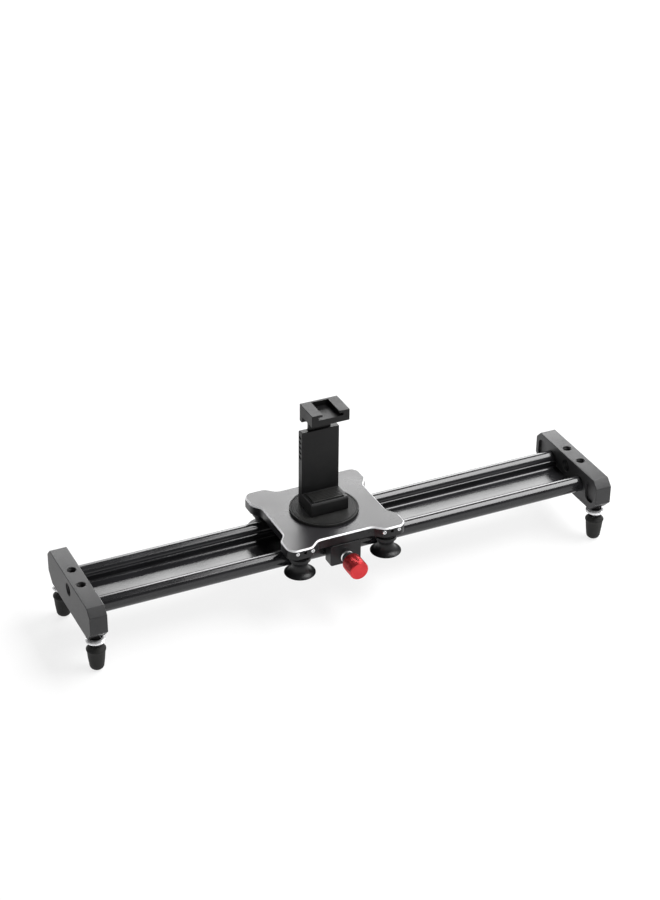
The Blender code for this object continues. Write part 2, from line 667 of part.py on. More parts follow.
def groove_radius_at(height):
    """The roller's radius where it follows the tube, at a height from the tube axis."""
    hollow = TUBE_RADIUS + RUN_GAP
    return GROOVE_RADIUS + hollow - math.sqrt(max(hollow**2 - height**2, 0.0))


def spaced(first, last, count):
    """Evenly spaced values, both ends among them."""
    return [first + (last - first) * i / (count - 1) for i in range(count)]


def groove_height_for(radius):
    hollow = TUBE_RADIUS + RUN_GAP
    return math.sqrt(max(hollow**2 - (GROOVE_RADIUS + hollow - radius) ** 2, 0.0))


def make_roller(name, x, y, carriage):
    """A trumpet roller with its bearing. Heights are from the tube axis, where the groove is narrowest."""
    axis = empty(f"roller_axis_{name}", (x, y, TUBE_Z), carriage)
    top = groove_height_for(ROLLER_COLLAR_RADIUS)
    bottom = -groove_height_for(ROLLER_FLARE_RADIUS)
    groove = [(groove_radius_at(height), height) for height in spaced(top, bottom, 8)]
    seat = BEARING_WIDTH / 2 + RUN_GAP
    bore = BEARING_RADIUS + RUN_GAP
    neck = AXLE_RADIUS + RUN_GAP + SPACER_WALL + RUN_GAP
    profile = [
        (ROLLER_COLLAR_RADIUS, top + ROLLER_COLLAR_HEIGHT),
        *groove,
        (ROLLER_FLARE_RADIUS, bottom - ROLLER_RIM_HEIGHT),
        (bore, bottom - ROLLER_RIM_HEIGHT),
        (bore, seat),
        (neck, seat),
        (neck, top + ROLLER_COLLAR_HEIGHT),
    ]
    turned(f"roller_{name}", profile, "black_polymer", (0, 0, 0), axis, ring=True, steps=24)
    half = BEARING_WIDTH / 2
    inside = AXLE_RADIUS + RUN_GAP
    race = [(BEARING_RADIUS, half), (BEARING_RADIUS, -half), (inside, -half), (inside, half)]
    turned(f"roller_bearing_{name}", race, "bright_steel", (0, 0, 0), axis, ring=True, steps=20)


def make_roller_axle(name, x, y, carriage):
    """A bolt from below, with a spacer between the bearing and the plate."""
    axis = empty(f"axle_{name}", (x, y, 0), carriage)
    head_radius, head_height = BOLT_HEAD
    head_top = TUBE_Z - BEARING_WIDTH / 2 - RUN_GAP
    shank_top = PLATE_BOTTOM + AXLE_GRIP
    bolt = headed_screw(AXLE_RADIUS, shank_top, head_radius, head_top, head_height)
    turned(f"roller_bolt_{name}", bolt, "bright_steel", (0, 0, 0), axis, steps=SMALL_STEPS)
    bottom = TUBE_Z + BEARING_WIDTH / 2 + RUN_GAP
    top = PLATE_BOTTOM - RUN_GAP
    inner = AXLE_RADIUS + RUN_GAP
    outer = inner + SPACER_WALL
    spacer = [(outer, top), (outer, bottom), (inner, bottom), (inner, top)]
    turned(f"roller_spacer_{name}", spacer, "bright_steel", (0, 0, 0), axis, ring=True, steps=SMALL_STEPS)


def headed_screw(shank_radius, shank_top, head_radius, head_top, head_height):
    """Profile of a screw that goes up from its head."""
    return [
        (0, shank_top),
        (shank_radius, shank_top),
        (shank_radius, head_top),
        (head_radius, head_top),
        (head_radius, head_top - head_height),
        (0, head_top - head_height),
    ]


def make_brake(carriage):
    """Bracket, its two screws, and the brake screw with its knob, collar and pad."""
    corners = [
        (BRACKET_LENGTH / 2, -BRACKET_HEIGHT / 2),
        (BRACKET_LENGTH / 2, BRACKET_HEIGHT / 2),
        (-BRACKET_LENGTH / 2, BRACKET_HEIGHT / 2),
        (-BRACKET_LENGTH / 2, -BRACKET_HEIGHT / 2),
    ]
    mesh = extruded("brake_bracket", [rounded(corners, BRACKET_CORNER, 3)], BRACKET_DEPTH)
    top = PLATE_BOTTOM - RUN_GAP
    middle_y = -(BRACKET_FRONT - BRACKET_DEPTH / 2)
    middle = (0, middle_y, top - BRACKET_HEIGHT / 2)
    bracket = place_part("brake_bracket", mesh, "black_anodised", middle, carriage, TOWARDS_FRONT)
    bore = cylinders(
        "bracket_screw_bore",
        [(0, middle_y, KNOB_Z)],
        BRAKE_SCREW_RADIUS + RUN_GAP,
        BRACKET_DEPTH + 2 * CUT_OVERSHOOT,
        "Y",
    )
    holes = cylinders(
        "bracket_fixing_holes",
        [(x, y, top - BRACKET_HEIGHT / 2) for x, y in bracket_screw_places()],
        BRACKET_SCREW_RADIUS + RUN_GAP,
        BRACKET_HEIGHT + 2 * CUT_OVERSHOOT,
        "Z",
        12,
    )
    head_radius, head_height = BRACKET_SCREW_HEAD
    recess = head_height + 2 * RUN_GAP + CUT_OVERSHOOT
    recesses = cylinders(
        "bracket_fixing_recesses",
        [(x, y, top - BRACKET_HEIGHT - CUT_OVERSHOOT + recess / 2) for x, y in bracket_screw_places()],
        head_radius + RUN_GAP,
        recess,
        "Z",
        12,
    )
    for mesh in (bore, holes, recesses):
        combine(bracket, cutter(mesh.name, mesh, carriage))

    head_top = top - BRACKET_HEIGHT + RUN_GAP + head_height
    shank_top = PLATE_BOTTOM + BRACKET_SCREW_GRIP
    fixing = headed_screw(BRACKET_SCREW_RADIUS, shank_top, head_radius, head_top, head_height)
    for name, (x, y) in zip(("left", "right"), bracket_screw_places()):
        turned(f"bracket_screw_{name}", fixing, "black_oxide", (x, y, 0), carriage, steps=12)

    axis = empty("brake_axis", (0, 0, KNOB_Z), carriage)
    face = TUBE_Y + TUBE_RADIUS + RUN_GAP
    pad = [(0, BRAKE_PAD_LENGTH), (BRAKE_PAD_RADIUS, BRAKE_PAD_LENGTH), (BRAKE_PAD_RADIUS, 0), (0, 0)]
    turned("brake_pad", pad, "white_nylon", (0, -face, 0), axis, TOWARDS_FRONT, steps=SMALL_STEPS)
    screw_start = face + BRAKE_PAD_LENGTH + RUN_GAP
    screw_end = KNOB_BACK + KNOB_SOCKET_DEPTH - RUN_GAP - screw_start
    screw = [(0, screw_end), (BRAKE_SCREW_RADIUS, screw_end), (BRAKE_SCREW_RADIUS, 0), (0, 0)]
    turned("brake_screw", screw, "bright_steel", (0, -screw_start, 0), axis, TOWARDS_FRONT, steps=SMALL_STEPS)
    inner = BRAKE_SCREW_RADIUS + RUN_GAP
    collar = [
        (KNOB_COLLAR_RADIUS, KNOB_COLLAR_LENGTH),
        (KNOB_COLLAR_RADIUS, 0),
        (inner, 0),
        (inner, KNOB_COLLAR_LENGTH),
    ]
    seat = (0, -(BRACKET_FRONT + RUN_GAP), 0)
    turned("brake_collar", collar, "bright_steel", seat, axis, TOWARDS_FRONT, ring=True, steps=24)
    knob = [
        (0, KNOB_LENGTH),
        (KNOB_RADIUS - KNOB_EDGE, KNOB_LENGTH),
        (KNOB_RADIUS, KNOB_LENGTH - KNOB_EDGE),
        (KNOB_RADIUS, KNOB_EDGE),
        (KNOB_RADIUS - KNOB_EDGE, 0),
        (inner, 0),
        (inner, KNOB_SOCKET_DEPTH),
        (0, KNOB_SOCKET_DEPTH),
    ]
    turned("brake_knob", knob, "red_anodised", (0, -KNOB_BACK, 0), axis, TOWARDS_FRONT)


def make_camera_mount(carriage):
    """The round rubber pad and the camera screw that comes up through it."""
    bore = CAMERA_SCREW_RADIUS + RUN_GAP
    rim = PAD_RADIUS - PAD_RIM_WIDTH
    pad = [
        (PAD_RADIUS - PAD_EDGE, PAD_THICKNESS),
        (PAD_RADIUS, PAD_THICKNESS - PAD_EDGE),
        (PAD_RADIUS, 0),
        (bore, 0),
        (bore, PAD_THICKNESS),
        (rim - PAD_GROOVE[0], PAD_THICKNESS),
        (rim - PAD_GROOVE[0] / 2, PAD_THICKNESS - PAD_GROOVE[1]),
        (rim, PAD_THICKNESS),
    ]
    turned("camera_pad", pad, "black_rubber", (0, 0, PAD_BOTTOM), carriage, ring=True, steps=36)
    head_radius, head_height = CAMERA_SCREW_HEAD
    head_bottom = PLATE_BOTTOM + RUN_GAP
    tip = PAD_TOP + CAMERA_SCREW_REACH
    screw = [
        (0, tip),
        (CAMERA_SCREW_RADIUS - CAMERA_SCREW_LEAD, tip),
        (CAMERA_SCREW_RADIUS, tip - CAMERA_SCREW_LEAD),
        (CAMERA_SCREW_RADIUS, head_bottom + head_height),
        (head_radius, head_bottom + head_height),
        (head_radius, head_bottom),
        (0, head_bottom),
    ]
    turned("camera_screw", screw, "bright_steel", (0, 0, 0), carriage, steps=24)


def make_clamp_base(clamp):
    """Lower jaw and spine, one side outline given the clamp's width."""
    top = SPINE_TOP
    outline = [
        (-CLAMP_FRONT, CLAMP_BOTTOM),
        (CLAMP_BACK, CLAMP_BOTTOM),
        (CLAMP_BACK, top - JAW_EDGE),
        (CLAMP_BACK - JAW_EDGE, top),
        (SPINE_FRONT, top),
        (SPINE_FRONT, LOWER_JAW_TOP),
        (-CLAMP_FRONT + JAW_EDGE, LOWER_JAW_TOP),
        (-CLAMP_FRONT, LOWER_JAW_TOP - JAW_EDGE),
    ]
    mesh = extruded("clamp_base", [outline], CLAMP_WIDTH)
    base = place_part("clamp_base", mesh, "black_polymer", (0, 0, 0), clamp, ACROSS_RAIL)
    boss_length = CLAMP_BOSS_LENGTH + RUN_GAP
    boss_y = CLAMP_BACK + CLAMP_BOSS_LENGTH - boss_length / 2
    boss = cylinders("clamp_boss", [(0, boss_y, CLAMP_SCREW_Z)], CLAMP_BOSS_RADIUS, boss_length, "Y", 24)
    combine(base, cutter("clamp_boss", boss, clamp), "UNION")
    half = CHANNEL_WIDTH / 2
    channel = boxes(
        "clamp_channel",
        [((-half, CHANNEL_FRONT, CLAMP_BOTTOM + CHANNEL_FLOOR), (half, CHANNEL_BACK, top + CUT_OVERSHOOT))],
    )
    screw_reach = CLAMP_BACK + CLAMP_BOSS_LENGTH + CUT_OVERSHOOT - (CHANNEL_BACK - CHANNEL_DEPTH / 2)
    screw_y = CLAMP_BACK + CLAMP_BOSS_LENGTH + CUT_OVERSHOOT - screw_reach / 2
    screw_places = [(0, screw_y, CLAMP_SCREW_Z)]
    screw = cylinders("clamp_screw_bore", screw_places, CLAMP_SCREW_RADIUS + RUN_GAP, screw_reach, "Y")
    socket_reach = CAMERA_SCREW_REACH + RUN_GAP + CUT_OVERSHOOT
    socket_z = CLAMP_BOTTOM - CUT_OVERSHOOT + socket_reach / 2
    socket_radius = CAMERA_SCREW_RADIUS + RUN_GAP
    socket = cylinders("clamp_socket", [(0, 0, socket_z)], socket_radius, socket_reach, "Z", 24)
    recess = boxes("lower_pad_recess", [grip_pad_span(LOWER_JAW_TOP, 1, RUN_GAP)])
    for mesh in (channel, screw, socket, recess):
        combine(base, cutter(mesh.name, mesh, clamp))


def grip_pad_span(face, out, gap=0.0):
    """The box of a jaw's rubber pad, or of its recess when a gap is given.

    out is 1 above a face and -1 below it.
    """
    half = CLAMP_WIDTH / 2 - GRIP_PAD_MARGIN + gap
    front = -CLAMP_FRONT + GRIP_PAD_MARGIN - gap
    back = SHOULDER_FRONT - RUN_GAP - GRIP_PAD_BACK_MARGIN + gap
    sunk = face - out * (GRIP_PAD_SINK + gap)
    proud = face + out * (GRIP_PAD_THICKNESS - GRIP_PAD_SINK)
    return (-half, front, min(sunk, proud)), (half, back, max(sunk, proud))


def make_upper_jaw(clamp):
    """Head with the cold shoe, a shoulder behind the phone, and the tongue that runs in the spine."""
    head_top = HEAD_BOTTOM + HEAD_HEIGHT
    shoulder = HEAD_BOTTOM - SHOULDER_HEIGHT
    tongue_front = CHANNEL_FRONT + RUN_GAP
    tongue_back = CHANNEL_BACK - RUN_GAP
    outline = [
        (-CLAMP_FRONT, HEAD_BOTTOM),
        (SHOULDER_FRONT, HEAD_BOTTOM),
        (SHOULDER_FRONT + SHOULDER_SLOPE, shoulder),
        (tongue_front, shoulder),
        (tongue_front, TONGUE_BOTTOM),
        (tongue_back, TONGUE_BOTTOM),
        (tongue_back, head_top),
        (-CLAMP_FRONT, head_top),
    ]
    mesh = extruded("upper_jaw", [outline], CLAMP_WIDTH)
    jaw = place_part("upper_jaw", mesh, "black_polymer", (0, 0, 0), clamp, ACROSS_RAIL)
    outside = CLAMP_WIDTH / 2 + CUT_OVERSHOOT
    back = tongue_back + CUT_OVERSHOOT
    sides = boxes(
        "tongue_sides",
        [
            ((-outside, 0, TONGUE_BOTTOM - CUT_OVERSHOOT), (-TONGUE_WIDTH / 2, back, shoulder)),
            ((TONGUE_WIDTH / 2, 0, TONGUE_BOTTOM - CUT_OVERSHOOT), (outside, back, shoulder)),
        ],
    )
    front = -CLAMP_FRONT - CUT_OVERSHOOT
    stop = tongue_back - SHOE_STOP
    slot_half = SHOE_SLOT_WIDTH / 2
    mouth_half = SHOE_MOUTH_WIDTH / 2
    slot = boxes(
        "shoe_slot", [((-slot_half, front, SHOE_FLOOR), (slot_half, stop, SHOE_FLOOR + SHOE_SLOT_HEIGHT))]
    )
    mouth_low = (-mouth_half, front, SHOE_FLOOR + SHOE_SLOT_HEIGHT / 2)
    mouth = boxes("shoe_mouth", [(mouth_low, (mouth_half, stop, head_top + CUT_OVERSHOOT))])
    recess = boxes("upper_pad_recess", [grip_pad_span(HEAD_BOTTOM, -1, RUN_GAP)])
    for mesh in (sides, slot, mouth, recess):
        combine(jaw, cutter(mesh.name, mesh, clamp))


def make_grip_pads(clamp):
    for name, face, out in (("lower_jaw_pad", LOWER_JAW_TOP, 1), ("upper_jaw_pad", HEAD_BOTTOM, -1)):
        pad = place_part(name, boxes(name, [grip_pad_span(face, out)]), "black_rubber", (0, 0, 0), clamp)
        edge_break(pad, GRIP_PAD_EDGE)


def make_clamp_screw(clamp):
    """The thumb screw behind the spine and the nylon tip that holds the tongue."""
    axis = empty("clamp_screw_axis", (0, 0, CLAMP_SCREW_Z), clamp)
    face = CHANNEL_BACK
    tip = [(0, CLAMP_TIP_LENGTH), (CLAMP_SCREW_RADIUS, CLAMP_TIP_LENGTH), (CLAMP_SCREW_RADIUS, 0), (0, 0)]
    turned("clamp_screw_tip", tip, "white_nylon", (0, face, 0), axis, TOWARDS_BACK, steps=SMALL_STEPS)
    start = face + CLAMP_TIP_LENGTH + RUN_GAP
    knob_front = CLAMP_BACK + CLAMP_BOSS_LENGTH + RUN_GAP
    socket = CLAMP_KNOB_LENGTH / 2
    length = knob_front + socket - RUN_GAP - start
    screw = [(0, length), (CLAMP_SCREW_RADIUS, length), (CLAMP_SCREW_RADIUS, 0), (0, 0)]
    turned("clamp_screw", screw, "bright_steel", (0, start, 0), axis, TOWARDS_BACK, steps=SMALL_STEPS)
    inner = CLAMP_SCREW_RADIUS + RUN_GAP
    knob = [
        (0, CLAMP_KNOB_LENGTH),
        (CLAMP_KNOB_RADIUS - CLAMP_KNOB_EDGE, CLAMP_KNOB_LENGTH),
        (CLAMP_KNOB_RADIUS, CLAMP_KNOB_LENGTH - CLAMP_KNOB_EDGE),
        (CLAMP_KNOB_RADIUS, CLAMP_KNOB_NECK[1]),
        (CLAMP_BOSS_RADIUS, CLAMP_KNOB_NECK[0]),
        (CLAMP_BOSS_RADIUS, 0),
        (inner, 0),
        (inner, socket),
        (0, socket),
    ]
    turned("clamp_knob", knob, "black_polymer", (0, knob_front, 0), axis, TOWARDS_BACK, steps=24)


def main():
    rail = empty("rail_origin", (0, RAIL_MIDDLE_Y, 0))
    make_rail(rail)
    make_end_block(-1, "end_block_left", rail)
    make_end_block(1, "end_block_right", rail)
    make_dowels(rail)
    for x_side, y_side, corner in CORNERS:
        make_leg(corner, x_side * BLOCK_X, y_side * LEG_SPACING / 2, rail)

    carriage = empty("carriage_origin", (CARRIAGE_X, 0, 0), rail)
    make_plate(carriage)
    for x_side, y_side, corner in CORNERS:
        make_roller(corner, x_side * ROLLER_HALF_BASE, y_side * ROLLER_Y, carriage)
        make_roller_axle(corner, x_side * ROLLER_HALF_BASE, y_side * ROLLER_Y, carriage)
    make_brake(carriage)
    make_camera_mount(carriage)

    clamp = empty("clamp_swivel", (0, 0, 0), carriage)
    make_clamp_base(clamp)
    make_upper_jaw(clamp)
    make_grip_pads(clamp)
    make_clamp_screw(clamp)


main()
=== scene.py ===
"""Looks of a tabletop camera slider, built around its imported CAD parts.

Metres, +Z up, X along the rail. Every piece is made where it stands, so its object sits at the origin.
"""

import logging
import math
from collections.abc import Iterable, Sequence
from dataclasses import dataclass
from enum import Enum

import bmesh
import bpy
from mathutils import Matrix, Vector


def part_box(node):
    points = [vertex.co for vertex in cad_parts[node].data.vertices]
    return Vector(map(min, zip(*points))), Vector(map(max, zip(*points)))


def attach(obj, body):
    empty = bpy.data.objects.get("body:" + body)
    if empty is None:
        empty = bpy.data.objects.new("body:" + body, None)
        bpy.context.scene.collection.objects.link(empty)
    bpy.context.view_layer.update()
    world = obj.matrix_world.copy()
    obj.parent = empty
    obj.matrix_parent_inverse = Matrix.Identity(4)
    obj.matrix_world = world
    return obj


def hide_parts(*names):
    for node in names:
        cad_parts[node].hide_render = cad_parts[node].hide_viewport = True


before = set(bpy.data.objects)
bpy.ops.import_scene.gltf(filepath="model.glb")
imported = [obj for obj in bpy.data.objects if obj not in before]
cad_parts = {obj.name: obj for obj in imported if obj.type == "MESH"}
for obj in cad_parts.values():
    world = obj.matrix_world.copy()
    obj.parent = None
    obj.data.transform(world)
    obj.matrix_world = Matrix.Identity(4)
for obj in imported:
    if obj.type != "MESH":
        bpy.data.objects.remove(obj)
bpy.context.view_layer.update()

LOG = logging.getLogger("slider")
MM = 0.001
WELD = 1e-7  # points nearer than this are one
CORNERS = ("left_front", "right_front", "left_rear", "right_rear")
QUARTER_INCH_PITCH = 1.27 * MM
THREE_EIGHTHS_PITCH = 1.5875 * MM
THREAD_ROOT = 0.03 * MM  # how far a thread's root is sunk in what it stands on
THREAD_WIDTH = 0.84  # a thread's width at its root, as a share of its pitch
THREAD_STEPS = 28  # facets in one turn of a thread
OVER = 1 * MM  # how far a cutter stands out of the face it enters
UPRIGHT = 0.99  # the least slope of a direction that counts as straight up

Profile = Sequence[tuple[float, float]]
Colour = tuple[float, float, float]


class Facing(Enum):
    """The way that a turned piece's own upward axis points."""

    UP = (0, 0, 1)
    DOWN = (0, 0, -1)
    FRONT = (0, -1, 0)
    REAR = (0, 1, 0)
    LEFT = (-1, 0, 0)
    RIGHT = (1, 0, 0)

    def turn(self) -> Matrix:
        """The rotation that takes +Z to this direction.

        Returns:
            A 4 by 4 matrix.
        """
        return Vector((0, 0, 1)).rotation_difference(Vector(self.value)).to_matrix().to_4x4()


class Grain(Enum):
    """What the surface is worked like, close up."""

    BLASTED = "blasted"
    DRAWN = "drawn"
    TURNED = "turned"
    MOULDED = "moulded"


@dataclass(frozen=True)
class Spindle:
    """The axis that a turned surface's fine rings run round.

    Args:
        point: a point on the axis.
        facing: the axis's direction.
    """

    point: tuple[float, float, float]
    facing: Facing


@dataclass(frozen=True)
class Finish:
    """One surface finish, with its drift in patches and its grain.

    Args:
        name: what the workshop calls it.
        colour: the main colour, linear.
        drift: the colour that it drifts to in soft patches.
        metallic: 0 for plastic and rubber, 1 for bare metal.
        roughness: the mean roughness.
        spread: how far the roughness drifts each way.
        patch: the size of the patches.
        grain: the kind of working marks.
        pitch: the size of the working marks.
        depth: the height of the working marks.
        specular: the shader's specular level.
    """

    name: str
    colour: Colour
    drift: Colour
    metallic: float
    roughness: float
    spread: float
    patch: float
    grain: Grain
    pitch: float
    depth: float
    specular: float = 0.5

    def make(self, spindle: Spindle | None = None, suffix: str = "") -> bpy.types.Material:
        """Builds the finish as a material.

        Args:
            spindle: the axis of the rings, for a turned grain.
            suffix: what to add to the material's name.

        Returns:
            The material, or the one already made under that name.
        """
        name = f"{self.name}{suffix}"
        made = bpy.data.materials.get(name)
        if made:
            return made
        made = bpy.data.materials.new(name)
        made.use_nodes = True
        made.diffuse_color = (*self.colour, 1.0)
        tree = made.node_tree
        shader = tree.nodes["Principled BSDF"]
        shader.inputs["Metallic"].default_value = self.metallic
        shader.inputs["Specular IOR Level"].default_value = self.specular
        place = tree.nodes.new("ShaderNodeTexCoord").outputs["Object"]
        patches = noise(tree, place, 1 / self.patch, 3.0, 0.55)
        ramp = tree.nodes.new("ShaderNodeMix")
        ramp.data_type = "RGBA"
        tree.links.new(spread_to(tree, patches, 0.36, 0.66, 0.0, 1.0), ramp.inputs["Factor"])
        ramp.inputs["A"].default_value = (*self.colour, 1.0)
        ramp.inputs["B"].default_value = (*self.drift, 1.0)
        marks = self.marks(tree, place, spindle)
        speck = tree.nodes.new("ShaderNodeMix")
        speck.data_type = "RGBA"
        speck.blend_type = "MULTIPLY"
        speck.inputs["Factor"].default_value = 0.35
        tree.links.new(ramp.outputs["Result"], speck.inputs["A"])
        shade = tree.nodes.new("ShaderNodeCombineColor")
        level = spread_to(tree, marks, 0.3, 0.7, 0.6, 1.3)
        for channel in ("Red", "Green", "Blue"):
            tree.links.new(level, shade.inputs[channel])
        tree.links.new(shade.outputs["Color"], speck.inputs["B"])
        tree.links.new(speck.outputs["Result"], shader.inputs["Base Color"])
        rough = tree.nodes.new("ShaderNodeMath")
        rough.operation = "ADD"
        tree.links.new(
            spread_to(tree, patches, 0.3, 0.7, self.roughness - self.spread, self.roughness + self.spread),
            rough.inputs[0],
        )
        tree.links.new(spread_to(tree, marks, 0.3, 0.7, -self.spread / 2, self.spread / 2), rough.inputs[1])
        tree.links.new(rough.outputs["Value"], shader.inputs["Roughness"])
        bump = tree.nodes.new("ShaderNodeBump")
        bump.inputs["Strength"].default_value = 1.0
        bump.inputs["Distance"].default_value = self.depth
        tree.links.new(marks, bump.inputs["Height"])
        tree.links.new(bump.outputs["Normal"], shader.inputs["Normal"])
        return made

    def marks(
        self, tree: bpy.types.NodeTree, place: bpy.types.NodeSocket, spindle: Spindle | None
    ) -> bpy.types.NodeSocket:
        """The height of the working marks.

        Args:
            tree: the material's nodes.
            place: the point in the object's coordinates.
            spindle: the axis of the rings, for a turned grain.

        Returns:
            A socket from 0 to 1.
        """
        fine = 1 / self.pitch
        if self.grain is Grain.BLASTED:
            return noise(tree, place, fine, 2.0, 0.7)
        if self.grain is Grain.MOULDED:
            return noise(tree, place, fine, 4.0, 0.5)
        mapping = tree.nodes.new("ShaderNodeMapping")
        tree.links.new(place, mapping.inputs["Vector"])
        if self.grain is Grain.DRAWN:
            mapping.inputs["Scale"].default_value = (0.012, 1.0, 1.0)
            return noise(tree, mapping.outputs["Vector"], fine, 2.0, 0.6)
        spindle = spindle or Spindle((0, 0, 0), Facing.UP)
        back = spindle.facing.turn().inverted()
        mapping.inputs["Rotation"].default_value = back.to_euler()
        mapping.inputs["Location"].default_value = -(back @ Vector(spindle.point))
        parts = tree.nodes.new("ShaderNodeSeparateXYZ")
        tree.links.new(mapping.outputs["Vector"], parts.inputs["Vector"])
        flat = tree.nodes.new("ShaderNodeCombineXYZ")
        tree.links.new(parts.outputs["X"], flat.inputs["X"])
        tree.links.new(parts.outputs["Y"], flat.inputs["Y"])
        reach = tree.nodes.new("ShaderNodeVectorMath")
        reach.operation = "LENGTH"
        tree.links.new(flat.outputs["Vector"], reach.inputs[0])
        ring = tree.nodes.new("ShaderNodeCombineXYZ")
        tree.links.new(reach.outputs["Value"], ring.inputs["X"])
        tree.links.new(parts.outputs["Z"], ring.inputs["Y"])
        return noise(tree, ring.outputs["Vector"], fine, 2.0, 0.6)


def noise(
    tree: bpy.types.NodeTree, place: bpy.types.NodeSocket, scale: float, detail: float, rough: float
) -> bpy.types.NodeSocket:
    """A noise texture's value.

    Args:
        tree: the material's nodes.
        place: the point to read it at.
        scale: how many waves to the metre.
        detail: how many finer layers it has.
        rough: how strong the finer layers are.

    Returns:
        The value socket.
    """
    made = tree.nodes.new("ShaderNodeTexNoise")
    tree.links.new(place, made.inputs["Vector"])
    made.inputs["Scale"].default_value = scale
    made.inputs["Detail"].default_value = detail
    made.inputs["Roughness"].default_value = rough
    return made.outputs["Fac"]


def spread_to(
    tree: bpy.types.NodeTree, value: bpy.types.NodeSocket, low: float, high: float, first: float, last: float
) -> bpy.types.NodeSocket:
    """Maps a value's range to another range.

    Args:
        tree: the material's nodes.
        value: the value to map.
        low: the value that gives first.
        high: the value that gives last.
        first: the result at low.
        last: the result at high.

    Returns:
        The mapped value's socket.
    """
    made = tree.nodes.new("ShaderNodeMapRange")
    tree.links.new(value, made.inputs["Value"])
    for name, number in (("From Min", low), ("From Max", high), ("To Min", first), ("To Max", last)):
        made.inputs[name].default_value = number
    return made.outputs["Result"]


RAIL_BLACK = Finish(
    "gloss_black_anodised",
    colour=(0.012, 0.012, 0.013),
    drift=(0.016, 0.016, 0.018),
    metallic=0.0,
    roughness=0.17,
    spread=0.03,
    patch=40 * MM,
    grain=Grain.DRAWN,
    pitch=0.35 * MM,
    depth=0.004 * MM,
)
BLOCK_BLACK = Finish(
    "blasted_black_anodised",
    colour=(0.018, 0.018, 0.019),
    drift=(0.020, 0.020, 0.021),
    metallic=0.0,
    roughness=0.47,
    spread=0.015,
    patch=18 * MM,
    grain=Grain.BLASTED,
    pitch=0.9 * MM,
    depth=0.08 * MM,
    specular=0.42,
)
PLATE_BLACK = Finish(
    "satin_black_anodised",
    colour=(0.016, 0.0155, 0.017),
    drift=(0.020, 0.019, 0.021),
    metallic=0.0,
    roughness=0.30,
    spread=0.04,
    patch=22 * MM,
    grain=Grain.BLASTED,
    pitch=0.35 * MM,
    depth=0.01 * MM,
)
# Milled black anodising for the bracket; also put on the plate's sides and underside as painted shade, darker
# and less glossy than the plate's top.
BRACKET_BLACK_AND_SIDE_SHADE = Finish(
    "milled_black_anodised",
    colour=(0.010, 0.010, 0.011),
    drift=(0.014, 0.014, 0.015),
    metallic=0.0,
    roughness=0.30,
    spread=0.05,
    patch=12 * MM,
    grain=Grain.BLASTED,
    pitch=0.4 * MM,
    depth=0.01 * MM,
    specular=0.25,
)
CUT_EDGE = Finish(
    "bright_cut_edge",
    colour=(0.80, 0.80, 0.81),
    drift=(0.74, 0.74, 0.76),
    metallic=0.35,
    roughness=0.45,
    spread=0.05,
    patch=8 * MM,
    grain=Grain.BLASTED,
    pitch=0.3 * MM,
    depth=0.003 * MM,
)
BRIGHT_STEEL = Finish(
    "turned_bright_steel",
    colour=(0.82, 0.82, 0.83),
    drift=(0.74, 0.74, 0.75),
    metallic=1.0,
    roughness=0.22,
    spread=0.05,
    patch=5 * MM,
    grain=Grain.TURNED,
    pitch=0.18 * MM,
    depth=0.006 * MM,
)
NICKEL = Finish(
    "satin_nickel",
    colour=(0.86, 0.86, 0.87),
    drift=(0.80, 0.80, 0.81),
    metallic=0.45,
    roughness=0.28,
    spread=0.05,
    patch=5 * MM,
    grain=Grain.TURNED,
    pitch=0.18 * MM,
    depth=0.006 * MM,
)
# Dark steel: black-oxide screws, and painted shade on the foot studs between ring and boot.
DARK_STEEL = Finish(
    "black_oxide_steel_and_painted_shade",
    colour=(0.045, 0.044, 0.046),
    drift=(0.070, 0.068, 0.068),
    metallic=0.7,
    roughness=0.34,
    spread=0.06,
    patch=4 * MM,
    grain=Grain.TURNED,
    pitch=0.2 * MM,
    depth=0.006 * MM,
)
RED_METAL = Finish(
    "red_anodised",
    colour=(0.64, 0.048, 0.052),
    drift=(0.58, 0.040, 0.046),
    metallic=0.9,
    roughness=0.30,
    spread=0.04,
    patch=6 * MM,
    grain=Grain.TURNED,
    pitch=0.22 * MM,
    depth=0.005 * MM,
)
BLACK_PLASTIC = Finish(
    "satin_black_plastic",
    colour=(0.006, 0.006, 0.0065),
    drift=(0.009, 0.009, 0.009),
    metallic=0.0,
    roughness=0.42,
    spread=0.05,
    patch=9 * MM,
    grain=Grain.MOULDED,
    pitch=0.35 * MM,
    depth=0.02 * MM,
    specular=0.2,
)
ROLLER_PLASTIC = Finish(
    "turned_black_acetal",
    colour=(0.007, 0.007, 0.0075),
    drift=(0.010, 0.010, 0.011),
    metallic=0.0,
    roughness=0.36,
    spread=0.05,
    patch=7 * MM,
    grain=Grain.TURNED,
    pitch=0.3 * MM,
    depth=0.012 * MM,
    specular=0.25,
)
BLACK_RUBBER = Finish(
    "black_rubber",
    colour=(0.012, 0.012, 0.012),
    drift=(0.017, 0.017, 0.016),
    metallic=0.0,
    roughness=0.60,
    spread=0.06,
    patch=7 * MM,
    grain=Grain.MOULDED,
    pitch=0.25 * MM,
    depth=0.03 * MM,
    specular=0.2,
)
NYLON = Finish(
    "natural_nylon",
    colour=(0.78, 0.77, 0.72),
    drift=(0.70, 0.69, 0.63),
    metallic=0.0,
    roughness=0.45,
    spread=0.05,
    patch=4 * MM,
    grain=Grain.TURNED,
    pitch=0.25 * MM,
    depth=0.008 * MM,
)


